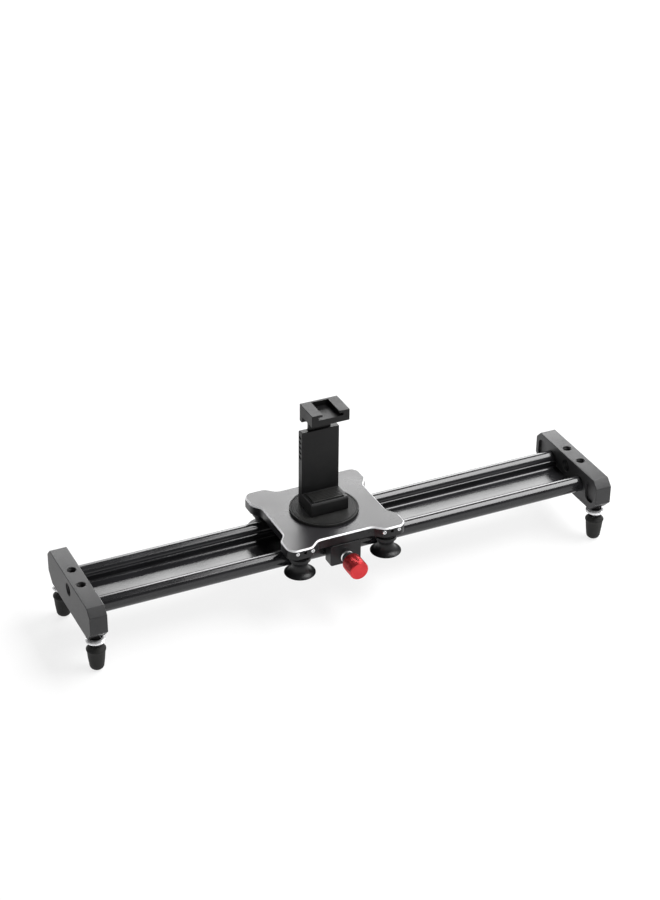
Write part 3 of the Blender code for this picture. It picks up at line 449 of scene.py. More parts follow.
def turned(profile: Profile, steps: int = 64, closed: bool = True) -> bmesh.types.BMesh:
    """Spins a profile about its own Z.

    Args:
        profile: (radius, height) pairs, down the outer side.
        steps: how many facets go round.
        closed: whether the last point joins the first, as on a ring.

    Returns:
        A closed shape.
    """
    shape = bmesh.new()
    points = [shape.verts.new((radius, 0, height)) for radius, height in profile]
    for first, second in zip(points, points[1:]):
        shape.edges.new((first, second))
    if closed and min(radius for radius, _ in profile) > WELD:
        shape.edges.new((points[-1], points[0]))
    bmesh.ops.spin(
        shape,
        geom=shape.verts[:] + shape.edges[:],
        cent=(0, 0, 0),
        axis=(0, 0, 1),
        dvec=(0, 0, 0),
        angle=math.tau,
        steps=steps,
        use_merge=True,
    )
    return tidy(shape)


def tidy(shape: bmesh.types.BMesh) -> bmesh.types.BMesh:
    """Welds a shape's doubles and points its faces outwards.

    Args:
        shape: the shape to mend.

    Returns:
        The same shape.
    """
    bmesh.ops.remove_doubles(shape, verts=shape.verts, dist=WELD * 10)
    bmesh.ops.dissolve_degenerate(shape, edges=shape.edges, dist=WELD)
    bmesh.ops.recalc_face_normals(shape, faces=shape.faces)
    return shape


def slab(outline: Profile, thickness: float) -> bmesh.types.BMesh:
    """Gives a flat outline a thickness, centred on its own Z.

    Args:
        outline: (x, y) corners.
        thickness: how thick the slab is.

    Returns:
        A closed shape.
    """
    shape = bmesh.new()
    face = shape.faces.new([shape.verts.new((x, y, -thickness / 2)) for x, y in outline])
    rise(shape, [face], Vector((0, 0, thickness)))
    return tidy(shape)


def rise(shape: bmesh.types.BMesh, faces: Sequence[bmesh.types.BMFace], way: Vector) -> None:
    """Extrudes faces and moves the new ones.

    Args:
        shape: the shape that they belong to.
        faces: the faces to extrude.
        way: where the new ones go.
    """
    made = bmesh.ops.extrude_face_region(shape, geom=list(faces))
    moved = [item for item in made["geom"] if isinstance(item, bmesh.types.BMVert)]
    bmesh.ops.translate(shape, verts=moved, vec=way)


def brick(low: Sequence[float], high: Sequence[float]) -> bmesh.types.BMesh:
    """A box between two corners.

    Args:
        low: the lowest corner.
        high: the highest corner.

    Returns:
        A closed shape.
    """
    shape = bmesh.new()
    bmesh.ops.create_cube(shape, size=1.0)
    bmesh.ops.scale(shape, verts=shape.verts, vec=[b - a for a, b in zip(low, high)])
    bmesh.ops.translate(shape, verts=shape.verts, vec=[(a + b) / 2 for a, b in zip(low, high)])
    return shape


def round_corners(shape: bmesh.types.BMesh, radius: float, steps: int = 5) -> None:
    """Rounds the upright edges of a slab.

    Args:
        shape: the slab.
        radius: how much to take off.
        steps: how many facets make the curve.
    """
    ways = {edge: (edge.verts[0].co - edge.verts[1].co).normalized() for edge in shape.edges}
    bevel(shape, [edge for edge, way in ways.items() if abs(way.z) > UPRIGHT], radius, steps)


def bevel(shape: bmesh.types.BMesh, edges: Sequence[bmesh.types.BMEdge], width: float, steps: int) -> None:
    """Bevels edges.

    Args:
        shape: the shape that they belong to.
        edges: the edges.
        width: the bevel's width.
        steps: how many facets it has.
    """
    bmesh.ops.bevel(
        shape,
        geom=list(edges),
        offset=width,
        offset_type="OFFSET",
        segments=steps,
        profile=0.5,
        affect="EDGES",
        clamp_overlap=True,
        material=-1,
    )


def soften(shape: bmesh.types.BMesh, width: float, steps: int = 2, over: float = 25) -> bmesh.types.BMesh:
    """Bevels every edge that is sharper than an angle.

    Args:
        shape: the shape.
        width: the bevel's width.
        steps: how many facets it has.
        over: the least angle in degrees.

    Returns:
        The same shape.
    """
    least = math.radians(over)
    bevel(shape, [edge for edge in shape.edges if edge.calc_face_angle(0.0) > least], width, steps)
    return shape


def put(shape: bmesh.types.BMesh, place: Sequence[float], facing: Facing = Facing.UP) -> bmesh.types.BMesh:
    """Turns a shape to face a way and moves it to its place.

    Args:
        shape: the shape, made about its own Z.
        place: where its origin goes.
        facing: the way that its Z points.

    Returns:
        The same shape.
    """
    bmesh.ops.transform(shape, matrix=Matrix.Translation(place) @ facing.turn(), verts=shape.verts)
    return shape


def join(shapes: Iterable[bmesh.types.BMesh]) -> bmesh.types.BMesh:
    """Puts several shapes in one.

    Args:
        shapes: the shapes, which are used up.

    Returns:
        The new shape.
    """
    whole = bmesh.new()
    for shape in shapes:
        mesh = bpy.data.meshes.new("part")
        shape.to_mesh(mesh)
        shape.free()
        whole.from_mesh(mesh)
        bpy.data.meshes.remove(mesh)
    return whole


def loose(shape: bmesh.types.BMesh, name: str) -> bpy.types.Object:
    """An object that holds a shape for a while.

    Args:
        shape: the shape, which is used up.
        name: the object's name.

    Returns:
        The object, linked to the scene.
    """
    mesh = bpy.data.meshes.new(name)
    shape.to_mesh(mesh)
    shape.free()
    made = bpy.data.objects.new(name, mesh)
    bpy.context.scene.collection.objects.link(made)
    return made


def carve(shape: bmesh.types.BMesh, tools: Iterable[bmesh.types.BMesh]) -> bmesh.types.BMesh:
    """Cuts shapes out of a shape.

    Args:
        shape: what is cut, and is used up.
        tools: what cuts it, each used up.

    Returns:
        The cut shape.
    """
    blank = loose(shape, "blank")
    helpers = [loose(tool, "tool") for tool in tools]
    for helper in helpers:
        cut = blank.modifiers.new("cut", "BOOLEAN")
        cut.operation = "DIFFERENCE"
        cut.solver = "EXACT"
        cut.object = helper
    graph = bpy.context.evaluated_depsgraph_get()
    mesh = bpy.data.meshes.new_from_object(blank.evaluated_get(graph))
    result = bmesh.new()
    result.from_mesh(mesh)
    bpy.data.meshes.remove(mesh)
    for thing in (blank, *helpers):
        data = thing.data
        bpy.data.objects.remove(thing)
        bpy.data.meshes.remove(data)
    bmesh.ops.remove_doubles(result, verts=result.verts, dist=WELD * 10)
    return result


def drill(
    radius: float, depth: float, sink: float = 0.0, steps: int = 40, point: float = 0.0
) -> bmesh.types.BMesh:
    """A drill that enters at z = 0 and goes down, with a countersink at its mouth.

    Args:
        radius: the hole's radius.
        depth: how deep its wall goes.
        sink: how wide the countersink is.
        steps: how many facets go round.
        point: how deep the drill's point goes past the wall.

    Returns:
        The tool's shape.
    """
    outline = [(0, OVER), (radius, OVER)]
    if sink:
        outline = [(0, OVER), (radius + sink + OVER, OVER), (radius + sink, 0)]
    outline += [(radius, -sink), (radius, -depth), (0, -depth - point)]
    return turned(outline, steps)


def thread(
    radius: float, reach: float, pitch: float, height: float, inward: bool = False
) -> bmesh.types.BMesh:
    """A helical ridge about Z, from z = 0 up.

    Args:
        radius: the cylinder that it stands on.
        reach: how far up it goes.
        pitch: the climb in one turn.
        height: how far the ridge stands out.
        inward: whether it stands in from a bore's wall.

    Returns:
        The ridge's shape.
    """
    shape = bmesh.new()
    root = radius + THREAD_ROOT if inward else radius - THREAD_ROOT
    crest = radius - height if inward else radius + height
    middle_z, half = pitch / 2, pitch * THREAD_WIDTH / 2
    spots = ((root, 0, middle_z - half), (crest, 0, middle_z), (root, 0, middle_z + half))
    first = shape.faces.new([shape.verts.new(spot) for spot in spots])
    turns = max(1, round((reach - pitch) / pitch))
    steps = THREAD_STEPS * turns
    made = bmesh.ops.spin(
        shape,
        geom=first.verts[:] + first.edges[:],
        cent=(0, 0, 0),
        axis=(0, 0, 1),
        dvec=(0, 0, pitch * turns / steps),
        angle=math.tau * turns,
        steps=steps,
    )
    last = [item for item in made["geom_last"] if isinstance(item, bmesh.types.BMEdge)]
    bmesh.ops.holes_fill(shape, edges=last, sides=3)
    return tidy(shape)


def ribbed(
    shape: bmesh.types.BMesh, least: float, depth: float, teeth: int, low: float, high: float
) -> bmesh.types.BMesh:
    """Presses straight ribs into the outside of a turned shape.

    Args:
        shape: a shape spun with twice as many steps as teeth.
        least: the radius past which a point is on the outside.
        depth: how deep the ribs are.
        teeth: how many ribs go round.
        low: the height where the ribs start.
        high: the height where they end.

    Returns:
        The same shape.
    """
    for vert in shape.verts:
        reach = math.hypot(vert.co.x, vert.co.y)
        place = round(math.atan2(vert.co.y, vert.co.x) / math.tau * 2 * teeth)
        if reach > least and low <= vert.co.z <= high and place % 2:
            bmesh.ops.scale(shape, verts=[vert], vec=(1 - depth / reach, 1 - depth / reach, 1))
    return shape


def rod(radius: float, length: float, edge: float, steps: int = 32, both: bool = True) -> bmesh.types.BMesh:
    """A round bar from z = 0 up.

    Args:
        radius: its radius.
        length: its length.
        edge: how much is broken off its upper edge.
        steps: how many facets go round.
        both: whether its lower edge is broken too.

    Returns:
        A closed shape.
    """
    foot = [(radius, edge), (radius - edge, 0)] if both else [(radius, 0)]
    return turned([(0, length), (radius - edge, length), (radius, length - edge), *foot, (0, 0)], steps)


def place_piece(
    shape: bmesh.types.BMesh,
    name: str,
    body: str,
    finish: bpy.types.Material,
    node: str = "",
    smooth: float = 32,
    others: Sequence[bpy.types.Material] = (),
) -> None:
    """Makes a shape a finished piece of the slider.

    Args:
        shape: the shape, in its place, which is used up.
        name: the piece's name.
        body: the CAD body that it rides on.
        finish: its material.
        node: the CAD node that it stands for.
        smooth: the angle in degrees past which an edge stays sharp.
        others: more materials, in the order of its faces' indices.
    """
    made = loose(shape, name)
    for material in (finish, *others):
        made.data.materials.append(material)
    made.data.shade_smooth()
    made.data.set_sharp_from_angle(angle=math.radians(smooth))
    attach(made, body)
    if node:
        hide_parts(node)
    LOG.info("%s: %d faces on %s", name, len(made.data.polygons), body)


def ends(node: str) -> tuple[Vector, Vector]:
    """The lowest and highest corners of a CAD node's box.

    Args:
        node: the node's name.

    Returns:
        The two corners.
    """
    low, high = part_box(node)
    return Vector(low), Vector(high)


def middle(node: str) -> Vector:
    """The middle of a CAD node's box.

    Args:
        node: the node's name.

    Returns:
        The point.
    """
    low, high = ends(node)
    return (low + high) / 2


def stand(shape: bmesh.types.BMesh, place: Sequence[float]) -> bmesh.types.BMesh:
    """Stands a flat shape up: its x runs to +Y, its y to +Z and its thickness along the rail.

    Args:
        shape: the shape, made about its own Z.
        place: where its origin goes.

    Returns:
        The same shape.
    """
    x, y, z = place
    turn = Matrix(((0, 0, 1, x), (1, 0, 0, y), (0, 1, 0, z), (0, 0, 0, 1)))
    bmesh.ops.transform(shape, matrix=turn, verts=shape.verts)
    return shape


def key_hole(radius: float, depth: float) -> bmesh.types.BMesh:
    """The cutter of a screw's hexagon socket.

    Args:
        radius: from the middle to a corner.
        depth: how deep the socket goes.

    Returns:
        The cutter, its middle at z = 0.
    """
    shape = bmesh.new()
    bmesh.ops.create_cone(shape, cap_ends=True, segments=6, radius1=radius, radius2=radius, depth=2 * depth)
    return shape


@dataclass
class Rail:
    """The extrusion of two tubes, a lip beside each, and a web."""

    tube_radius: float = 5.73 * MM
    bore_radius: float = 3.5 * MM
    tube_spacing: float = 40 * MM
    lip_radius: float = 0.9 * MM
    lip_standoff: float = 0.37 * MM
    lip_rise: float = 0.5 * MM
    web: float = 1.75 * MM
    fillet: float = 2.0 * MM

    def section(self) -> bmesh.types.BMesh:
        """The cut end of the extrusion, in X and Y about the tubes' middle.

        Returns:
            A flat shape with the bores open.
        """
        shape = bmesh.new()
        tube_x = self.tube_spacing / 2
        lip = Vector((tube_x - self.tube_radius - self.lip_standoff, self.lip_rise, 0))
        apart = math.hypot(tube_x - lip.x, lip.y)
        lean = math.atan2(lip.y, lip.x - tube_x)
        tube_turn = math.acos(
            (self.tube_radius**2 + apart**2 - self.lip_radius**2) / (2 * self.tube_radius * apart)
        )
        lip_turn = math.acos(
            (self.lip_radius**2 + apart**2 - self.tube_radius**2) / (2 * self.lip_radius * apart)
        )
        start = shape.verts.new((tube_x, -self.tube_radius, 0))
        end = self.sweep(shape, start, Vector((tube_x, 0, 0)), lean - tube_turn + math.pi / 2, 56)
        end = self.sweep(shape, end, lip, 2 * math.pi - lean - lip_turn, 10)
        top = -self.tube_radius + self.web
        wall = lip.x - self.lip_radius
        foot = shape.verts.new((wall, top + self.fillet, 0))
        shape.edges.new((end, foot))
        end = self.sweep(shape, foot, Vector((wall - self.fillet, top + self.fillet, 0)), -math.pi / 2, 8)
        inner = shape.verts.new((0, end.co.y, 0))
        outer = shape.verts.new((0, -self.tube_radius, 0))
        shape.edges.new((end, inner))
        shape.edges.new((outer, start))
        bore = bmesh.ops.create_circle(shape, segments=32, radius=self.bore_radius)
        bmesh.ops.translate(shape, verts=bore["verts"], vec=(tube_x, 0, 0))
        half = shape.verts[:] + shape.edges[:]
        bmesh.ops.mirror(shape, geom=half, matrix=Matrix.Identity(4), merge_dist=WELD, axis="X")
        bmesh.ops.triangle_fill(shape, use_beauty=True, use_dissolve=False, edges=shape.edges[:])
        return shape

    def sweep(
        self, shape: bmesh.types.BMesh, start: bmesh.types.BMVert, centre: Vector, angle: float, steps: int
    ) -> bmesh.types.BMVert:
        """Draws an arc from a point.

        Args:
            shape: the flat shape.
            start: the arc's first point.
            centre: the arc's centre.
            angle: how far it goes, counter-clockwise.
            steps: how many sides it has.

        Returns:
            The arc's last point.
        """
        made = bmesh.ops.spin(
            shape, geom=[start], cent=centre, axis=(0, 0, 1), dvec=(0, 0, 0), angle=angle, steps=steps
        )
        return next(item for item in made["geom_last"] if isinstance(item, bmesh.types.BMVert))

    def build(self) -> None:
        """Makes the extrusion."""
        low, high = ends("rail_extrusion")
        shape = self.section()
        rise(shape, shape.faces[:], Vector((0, 0, high.x - low.x)))
        tidy(shape)
        stand(shape, (low.x, (low.y + high.y) / 2, low.z + self.tube_radius))
        place_piece(shape, "tube_rail", "slider_base", RAIL_BLACK.make(), "rail_extrusion", smooth=28)


@dataclass
class EndBlock:
    """One drilled octagon across the rail's end."""

    side: int
    name: str
    thickness: float = 12.6 * MM
    height: float = 26.1 * MM
    width: float = 86.1 * MM
    top_chamfer: tuple[float, float] = (5.2 * MM, 5.4 * MM)
    bottom_chamfer: tuple[float, float] = (7.3 * MM, 7.4 * MM)
    edge: float = 0.45 * MM
    top_hole: float = 3.05 * MM
    top_spacing: float = 19.2 * MM
    top_depth: float = 14 * MM
    top_point: float = 1.2 * MM
    centre_hole: float = 4.5 * MM
    centre_drop: float = 8.4 * MM
    thread_height: float = 0.42 * MM
    centre_thread_height: float = 0.5 * MM
    sink: float = 0.35 * MM
    tube_spacing: float = 40 * MM
    tube_drop: float = 12.1 * MM
    dowel_hole: tuple[float, float] = (3.5 * MM, 8.3 * MM)
    grub_hole: tuple[float, float] = (2.3 * MM, 10.8 * MM)
    leg_spacing: float = 68 * MM
    leg_hole: tuple[float, float] = (3.5 * MM, 18.3 * MM)
    under_sink: float = 0.3 * MM
    pocket: tuple[float, float] = (11 * MM, 15 * MM)
    pocket_drop: float = 12.6 * MM
    pocket_depth: float = 1.8 * MM
    pocket_corner: float = 4.6 * MM

    def build(self) -> None:
        """Makes the block and the threads in its holes."""
        low, high = ends(self.name)
        centre = (low + high) / 2
        top = high.z
        x, y = self.width / 2, self.height / 2
        right = [
            (x - self.bottom_chamfer[0], -y),
            (x, -y + self.bottom_chamfer[1]),
            (x, y - self.top_chamfer[1]),
            (x - self.top_chamfer[0], y),
        ]
        shape = slab(right + [(-a, b) for a, b in reversed(right)], self.thickness)
        soften(shape, self.edge, 2)
        stand(shape, (centre.x, centre.y, top - y))
        shape = carve(shape, self.tools(centre, top))
        finish = BLOCK_BLACK.make()
        place_piece(shape, f"drilled_block_{self.word()}", "slider_base", finish, self.name, smooth=10)
        threads = []
        for sign in (-1, 1):
            reach = self.top_depth - 0.6 * MM
            ridge = thread(self.top_hole, reach, QUARTER_INCH_PITCH, self.thread_height, inward=True)
            place = (centre.x, centre.y + sign * self.top_spacing / 2, top - self.top_depth)
            threads.append(put(ridge, place))
        reach = self.thickness - 0.8 * MM
        ridge = thread(self.centre_hole, reach, THREE_EIGHTHS_PITCH, self.centre_thread_height, inward=True)
        threads.append(put(ridge, (low.x + 0.4 * MM, centre.y, top - self.centre_drop), Facing.RIGHT))
        place_piece(join(threads), f"block_threads_{self.word()}", "slider_base", finish)

    def word(self) -> str:
        """The side's name."""
        return "left" if self.side < 0 else "right"

    def tools(self, centre: Vector, top: float) -> list[bmesh.types.BMesh]:
        """The drills and cutters that the block meets.

        Args:
            centre: the block's middle.
            top: the height of its top face.

        Returns:
            Their shapes.
        """
        outer = centre.x + self.side * self.thickness / 2
        inner = centre.x - self.side * self.thickness / 2
        outward = Facing.RIGHT if self.side > 0 else Facing.LEFT
        inward = Facing.LEFT if self.side > 0 else Facing.RIGHT
        hole_z = top - self.centre_drop
        half, bottom = self.thickness / 2, top - self.height
        tools = [
            put(drill(self.centre_hole, half + 1.0 * MM, self.sink), (outer, centre.y, hole_z), outward),
            put(drill(self.centre_hole, half + 0.5 * MM, self.sink), (inner, centre.y, hole_z), inward),
        ]
        for sign in (-1, 1):
            place = (centre.x, centre.y + sign * self.top_spacing / 2, top)
            tools.append(put(drill(self.top_hole, self.top_depth, self.sink, point=self.top_point), place))
            tube_y = centre.y + sign * self.tube_spacing / 2
            tools.append(put(drill(*self.dowel_hole), (inner, tube_y, top - self.tube_drop), inward))
            leg_y = centre.y + sign * self.leg_spacing / 2
            for hole, y in ((self.grub_hole, tube_y), (self.leg_hole, leg_y)):
                tools.append(put(drill(*hole, self.under_sink), (centre.x, y, bottom), Facing.DOWN))
            a, b = self.pocket[0] / 2, self.pocket[1] / 2
            pocket = slab([(-a, -b), (a, -b), (a, b), (-a, b)], 2 * self.pocket_depth)
            round_corners(pocket, self.pocket_corner, 10)
            tools.append(stand(pocket, (inner, leg_y, top - self.pocket_drop)))
        return tools


@dataclass
class GrubScrew:
    """A headless screw with a hexagon socket, set in a hole."""

    radius: float
    length: float
    across: float

    def shape(self) -> bmesh.types.BMesh:
        """The screw, its socket end at z = 0 and its body below.

        Returns:
            A closed shape.
        """
        body = put(rod(self.radius, self.length, self.radius * 0.16, both=False), (0, 0, -self.length))
        return carve(body, [key_hole(self.across / math.sqrt(3), self.radius * 1.1)])


@dataclass
class ScrewFoot:
    """A washer, a knurled lock ring, a threaded stud and a rubber boot."""

    corner: str
    collar_radius: float = 4.6 * MM
    ring_radius: float = 7.0 * MM
    stud_radius: float = 3.175 * MM
    gap: float = 0.3 * MM
    pitch: float = QUARTER_INCH_PITCH
    thread_height: float = 0.6 * MM
    teeth: int = 44
    knurl: float = 0.28 * MM

    def build(self) -> None:
        """Makes the foot's four pieces."""
        low, high = ends(f"leg_lock_ring_{self.corner}")
        x, y = (low.x + high.x) / 2, (low.y + high.y) / 2
        spindle = Spindle((x, y, 0), Facing.UP)
        steel = NICKEL.make(spindle, f"_foot_{self.corner}")
        bore = self.stud_radius + self.gap

        collar_low, collar_high = ends(f"leg_collar_{self.corner}")
        rise_to = collar_high.z - collar_low.z
        collar = turned([(self.collar_radius, rise_to), (self.collar_radius, 0), (bore, 0), (bore, rise_to)])
        soften(collar, 0.2 * MM)
        place_piece(
            put(collar, (x, y, collar_low.z)),
            f"foot_collar_{self.corner}",
            "slider_base",
            BLACK_PLASTIC.make(),
            f"leg_collar_{self.corner}",
        )
        self.lock_ring(x, y, low.z, high.z - low.z, bore, steel)
        # The stud takes the dark steel as painted shade: it stands in for the shadow between the lock ring
        # and the boot.
        self.stud(x, y, DARK_STEEL.make(spindle, f"_foot_{self.corner}"))
        self.boot(x, y, bore)

    def lock_ring(
        self, x: float, y: float, z: float, height: float, bore: float, steel: bpy.types.Material
    ) -> None:
        """Makes the knurled ring.

        Args:
            x: the foot's place along the rail.
            y: the foot's place across it.
            z: the ring's underside.
            height: the ring's height.
            bore: the radius of its hole.
            steel: its material.
        """
        outer = self.ring_radius
        profile = [
            (outer - 1.6 * MM, height),
            (outer - 0.15 * MM, height - 0.6 * MM),
            (outer, height - 0.75 * MM),
            (outer, height - 0.95 * MM),
            (outer - 0.4 * MM, height - 1.1 * MM),
            (outer - 0.4 * MM, height - 1.3 * MM),
            (outer, height - 1.45 * MM),
            (outer, 0.35 * MM),
            (outer - 0.35 * MM, 0),
            (bore + 0.3 * MM, 0),
            (bore, 0.3 * MM),
            (bore, height - 0.3 * MM),
            (bore + 0.3 * MM, height),
        ]
        ring = turned(profile, 2 * self.teeth)
        ribbed(ring, outer - 0.05 * MM, self.knurl, self.teeth, 0, height)
        place_piece(
            put(ring, (x, y, z)),
            f"knurled_ring_{self.corner}",
            f"lock_ring_{self.corner}",
            steel,
            f"leg_lock_ring_{self.corner}",
            smooth=22,
        )

    def stud(self, x: float, y: float, steel: bpy.types.Material) -> None:
        """Makes the threaded stud.

        Args:
            x: the foot's place along the rail.
            y: the foot's place across it.
            steel: its material, a dark steel that is painted shade for the shadow between the lock ring and
                the boot.
        """
        low, high = ends(f"leg_stud_{self.corner}")
        length = high.z - low.z
        core = self.stud_radius - 0.62 * MM
        bar = rod(core, length, 0.4 * MM, 36, both=False)
        shape = join([bar, thread(core, length - 0.5 * MM, self.pitch, self.thread_height)])
        place_piece(
            put(shape, (x, y, low.z)),
            f"foot_screw_{self.corner}",
            f"stud_{self.corner}",
            steel,
            f"leg_stud_{self.corner}",
        )

    def boot(self, x: float, y: float, bore: float) -> None:
        """Makes the rubber boot.

        Args:
            x: the foot's place along the rail.
            y: the foot's place across it.
            bore: the radius of its socket.
        """
        top = ends(f"leg_boot_{self.corner}")[1].z
        socket = ends(f"leg_stud_{self.corner}")[0].z - self.gap
        profile = [
            (4.1 * MM, top),
            (4.4 * MM, top - 0.2 * MM),
            (6.55 * MM, top - 2.6 * MM),
            (6.8 * MM, top - 2.95 * MM),
            (6.8 * MM, top - 3.6 * MM),
            (6.5 * MM, top - 4.1 * MM),
            (6.3 * MM, top - 4.9 * MM),
            (5.75 * MM, 8.4 * MM),
            (5.15 * MM, 3.8 * MM),
            (4.95 * MM, 2.5 * MM),
            (4.45 * MM, 1.45 * MM),
            (3.5 * MM, 0.55 * MM),
            (2.4 * MM, 0.0),
            (0, 0),
            (0, socket),
            (bore, socket),
            (bore, top - 0.2 * MM),
            (bore + 0.15 * MM, top),
        ]
        boot = turned(profile, 56)
        place_piece(
            put(boot, (x, y, 0)),
            f"rubber_boot_{self.corner}",
            f"foot_{self.corner}",
            BLACK_RUBBER.make(),
            f"leg_boot_{self.corner}",
            smooth=40,
        )


@dataclass
class CarriagePlate:
    """The winged plate with its bright chamfer and its sides darkened as painted shade, and the set screws in
    its wings.
    """

    half_length: float = 39.5 * MM
    half_width: float = 35.0 * MM
    wing_length: float = 44.8 * MM
    wing_width: float = 41.5 * MM
    slope: tuple[float, float] = (20.6 * MM, 27.8 * MM)
    waist: tuple[float, float] = (18.5 * MM, 25.3 * MM)
    corner: tuple[float, float] = (3.9 * MM, 4.4 * MM)
    chamfer: float = 0.95 * MM
    roller_x: float = 33 * MM
    roller_y: float = 31.73 * MM
    screw_spread: float = 5.6 * MM
    screw_rise: float = 4.3 * MM
    corner_round: float = 2.2 * MM
    camera_hole: tuple[float, float] = (3.5 * MM, 9 * MM)
    camera_seat: tuple[float, float] = (6.3 * MM, 3.4 * MM)
    bracket_hole: tuple[float, float] = (1.8 * MM, 4.7 * MM)
    bracket_holes_at: tuple[float, float] = (7.5 * MM, 31.65 * MM)
    axle_hole: tuple[float, float] = (2.3 * MM, 5.9 * MM)
    axle_screw_hole: tuple[float, float, float, int] = (1.25 * MM, 8.9 * MM, 0.2 * MM, 24)
    wing_screw_hole: tuple[float, float, float, int] = (1.55 * MM, 5 * MM, 0.2 * MM, 28)

    def build(self) -> None:
        """Makes the plate and its screws."""
        low, high = ends("carriage_plate")
        centre = (low + high) / 2
        quarter = [
            (self.half_length, self.waist[0]),
            (self.wing_length, self.waist[1]),
            (self.wing_length, self.wing_width - self.corner[1]),
            (self.wing_length - self.corner[0], self.wing_width),
            (self.slope[1], self.wing_width),
            (self.slope[0], self.half_width),
        ]
        rear = quarter + [(-x, y) for x, y in reversed(quarter)]
        shape = slab(rear + [(-x, -y) for x, y in rear], high.z - low.z)
        round_corners(shape, self.corner_round)
        top = (high.z - low.z) / 2
        rim = [edge for edge in shape.edges if any(face.normal.z > UPRIGHT for face in edge.link_faces)]
        bevel(shape, rim, self.chamfer, 1)
        # Below, faces that barely slope up take the darker, less glossy bracket finish: painted shade on the
        # plate's sides and underside.
        for face in shape.faces:
            slope = face.normal.z
            if 0.3 < slope < 0.95 and face.calc_center_median().z > top - 1.2 * MM:
                face.material_index = 1
            elif slope < 0.3:
                face.material_index = 2
        put(shape, centre)
        shape = carve(shape, self.tools(centre, low.z))
        others = (CUT_EDGE.make(), BRACKET_BLACK_AND_SIDE_SHADE.make())
        finish = PLATE_BLACK.make()
        place_piece(shape, "winged_plate", "carriage", finish, "carriage_plate", smooth=24, others=others)
        self.screws(centre, low.z)

    def tools(self, centre: Vector, bottom: float) -> list[bmesh.types.BMesh]:
        """The drills that the plate meets.

        Args:
            centre: the plate's middle.
            bottom: the height of its underside.

        Returns:
            Their shapes.
        """
        tools = [
            put(drill(*self.camera_hole), (centre.x, centre.y, bottom), Facing.DOWN),
            put(drill(*self.camera_seat), (centre.x, centre.y, bottom), Facing.DOWN),
        ]
        for i in (-1, 1):
            along, across = self.bracket_holes_at
            place = (centre.x + i * along, centre.y - across, bottom)
            tools.append(put(drill(*self.bracket_hole), place, Facing.DOWN))
            for j in (-1, 1):
                outward = Facing.REAR if j > 0 else Facing.FRONT
                x, y = centre.x + i * self.roller_x, centre.y + j * self.wing_width
                place = (x, centre.y + j * self.roller_y, bottom)
                tools.append(put(drill(*self.axle_hole), place, Facing.DOWN))
                tools.append(put(drill(*self.axle_screw_hole), (x, y, bottom + self.screw_rise), outward))
                for k in (-1, 1):
                    place = (x + k * self.screw_spread, y, bottom + self.screw_rise)
                    tools.append(put(drill(*self.wing_screw_hole), place, outward))
        return tools

    def screws(self, centre: Vector, bottom: float) -> None:
        """Makes the screws in the wings' edges.

        Args:
            centre: the plate's middle.
            bottom: the height of its underside.
        """
        bright = BRIGHT_STEEL.make(Spindle((0, 0, 0), Facing.FRONT), "_wing_screws")
        dark = DARK_STEEL.make(Spindle((0, 0, 0), Facing.FRONT), "_axle_screws")
        wing_screw = GrubScrew(1.45 * MM, 4.4 * MM, 1.3 * MM)
        axle_screw = GrubScrew(1.15 * MM, 3.6 * MM, 1.1 * MM)
        for j, word in ((-1, "front"), (1, "rear")):
            outward = Facing.REAR if j > 0 else Facing.FRONT
            wing, axle = [], []
            for i in (-1, 1):
                x, y = centre.x + i * self.roller_x, centre.y + j * (self.wing_width - 0.25 * MM)
                deep = centre.y + j * (self.wing_width - 2.2 * MM)
                axle.append(put(axle_screw.shape(), (x, deep, bottom + self.screw_rise), outward))
                for k in (-1, 1):
                    place = (x + k * self.screw_spread, y, bottom + self.screw_rise)
                    wing.append(put(wing_screw.shape(), place, outward))
            place_piece(join(wing), f"wing_screws_{word}", "carriage", bright)
            place_piece(join(axle), f"axle_screws_{word}", "carriage", dark)


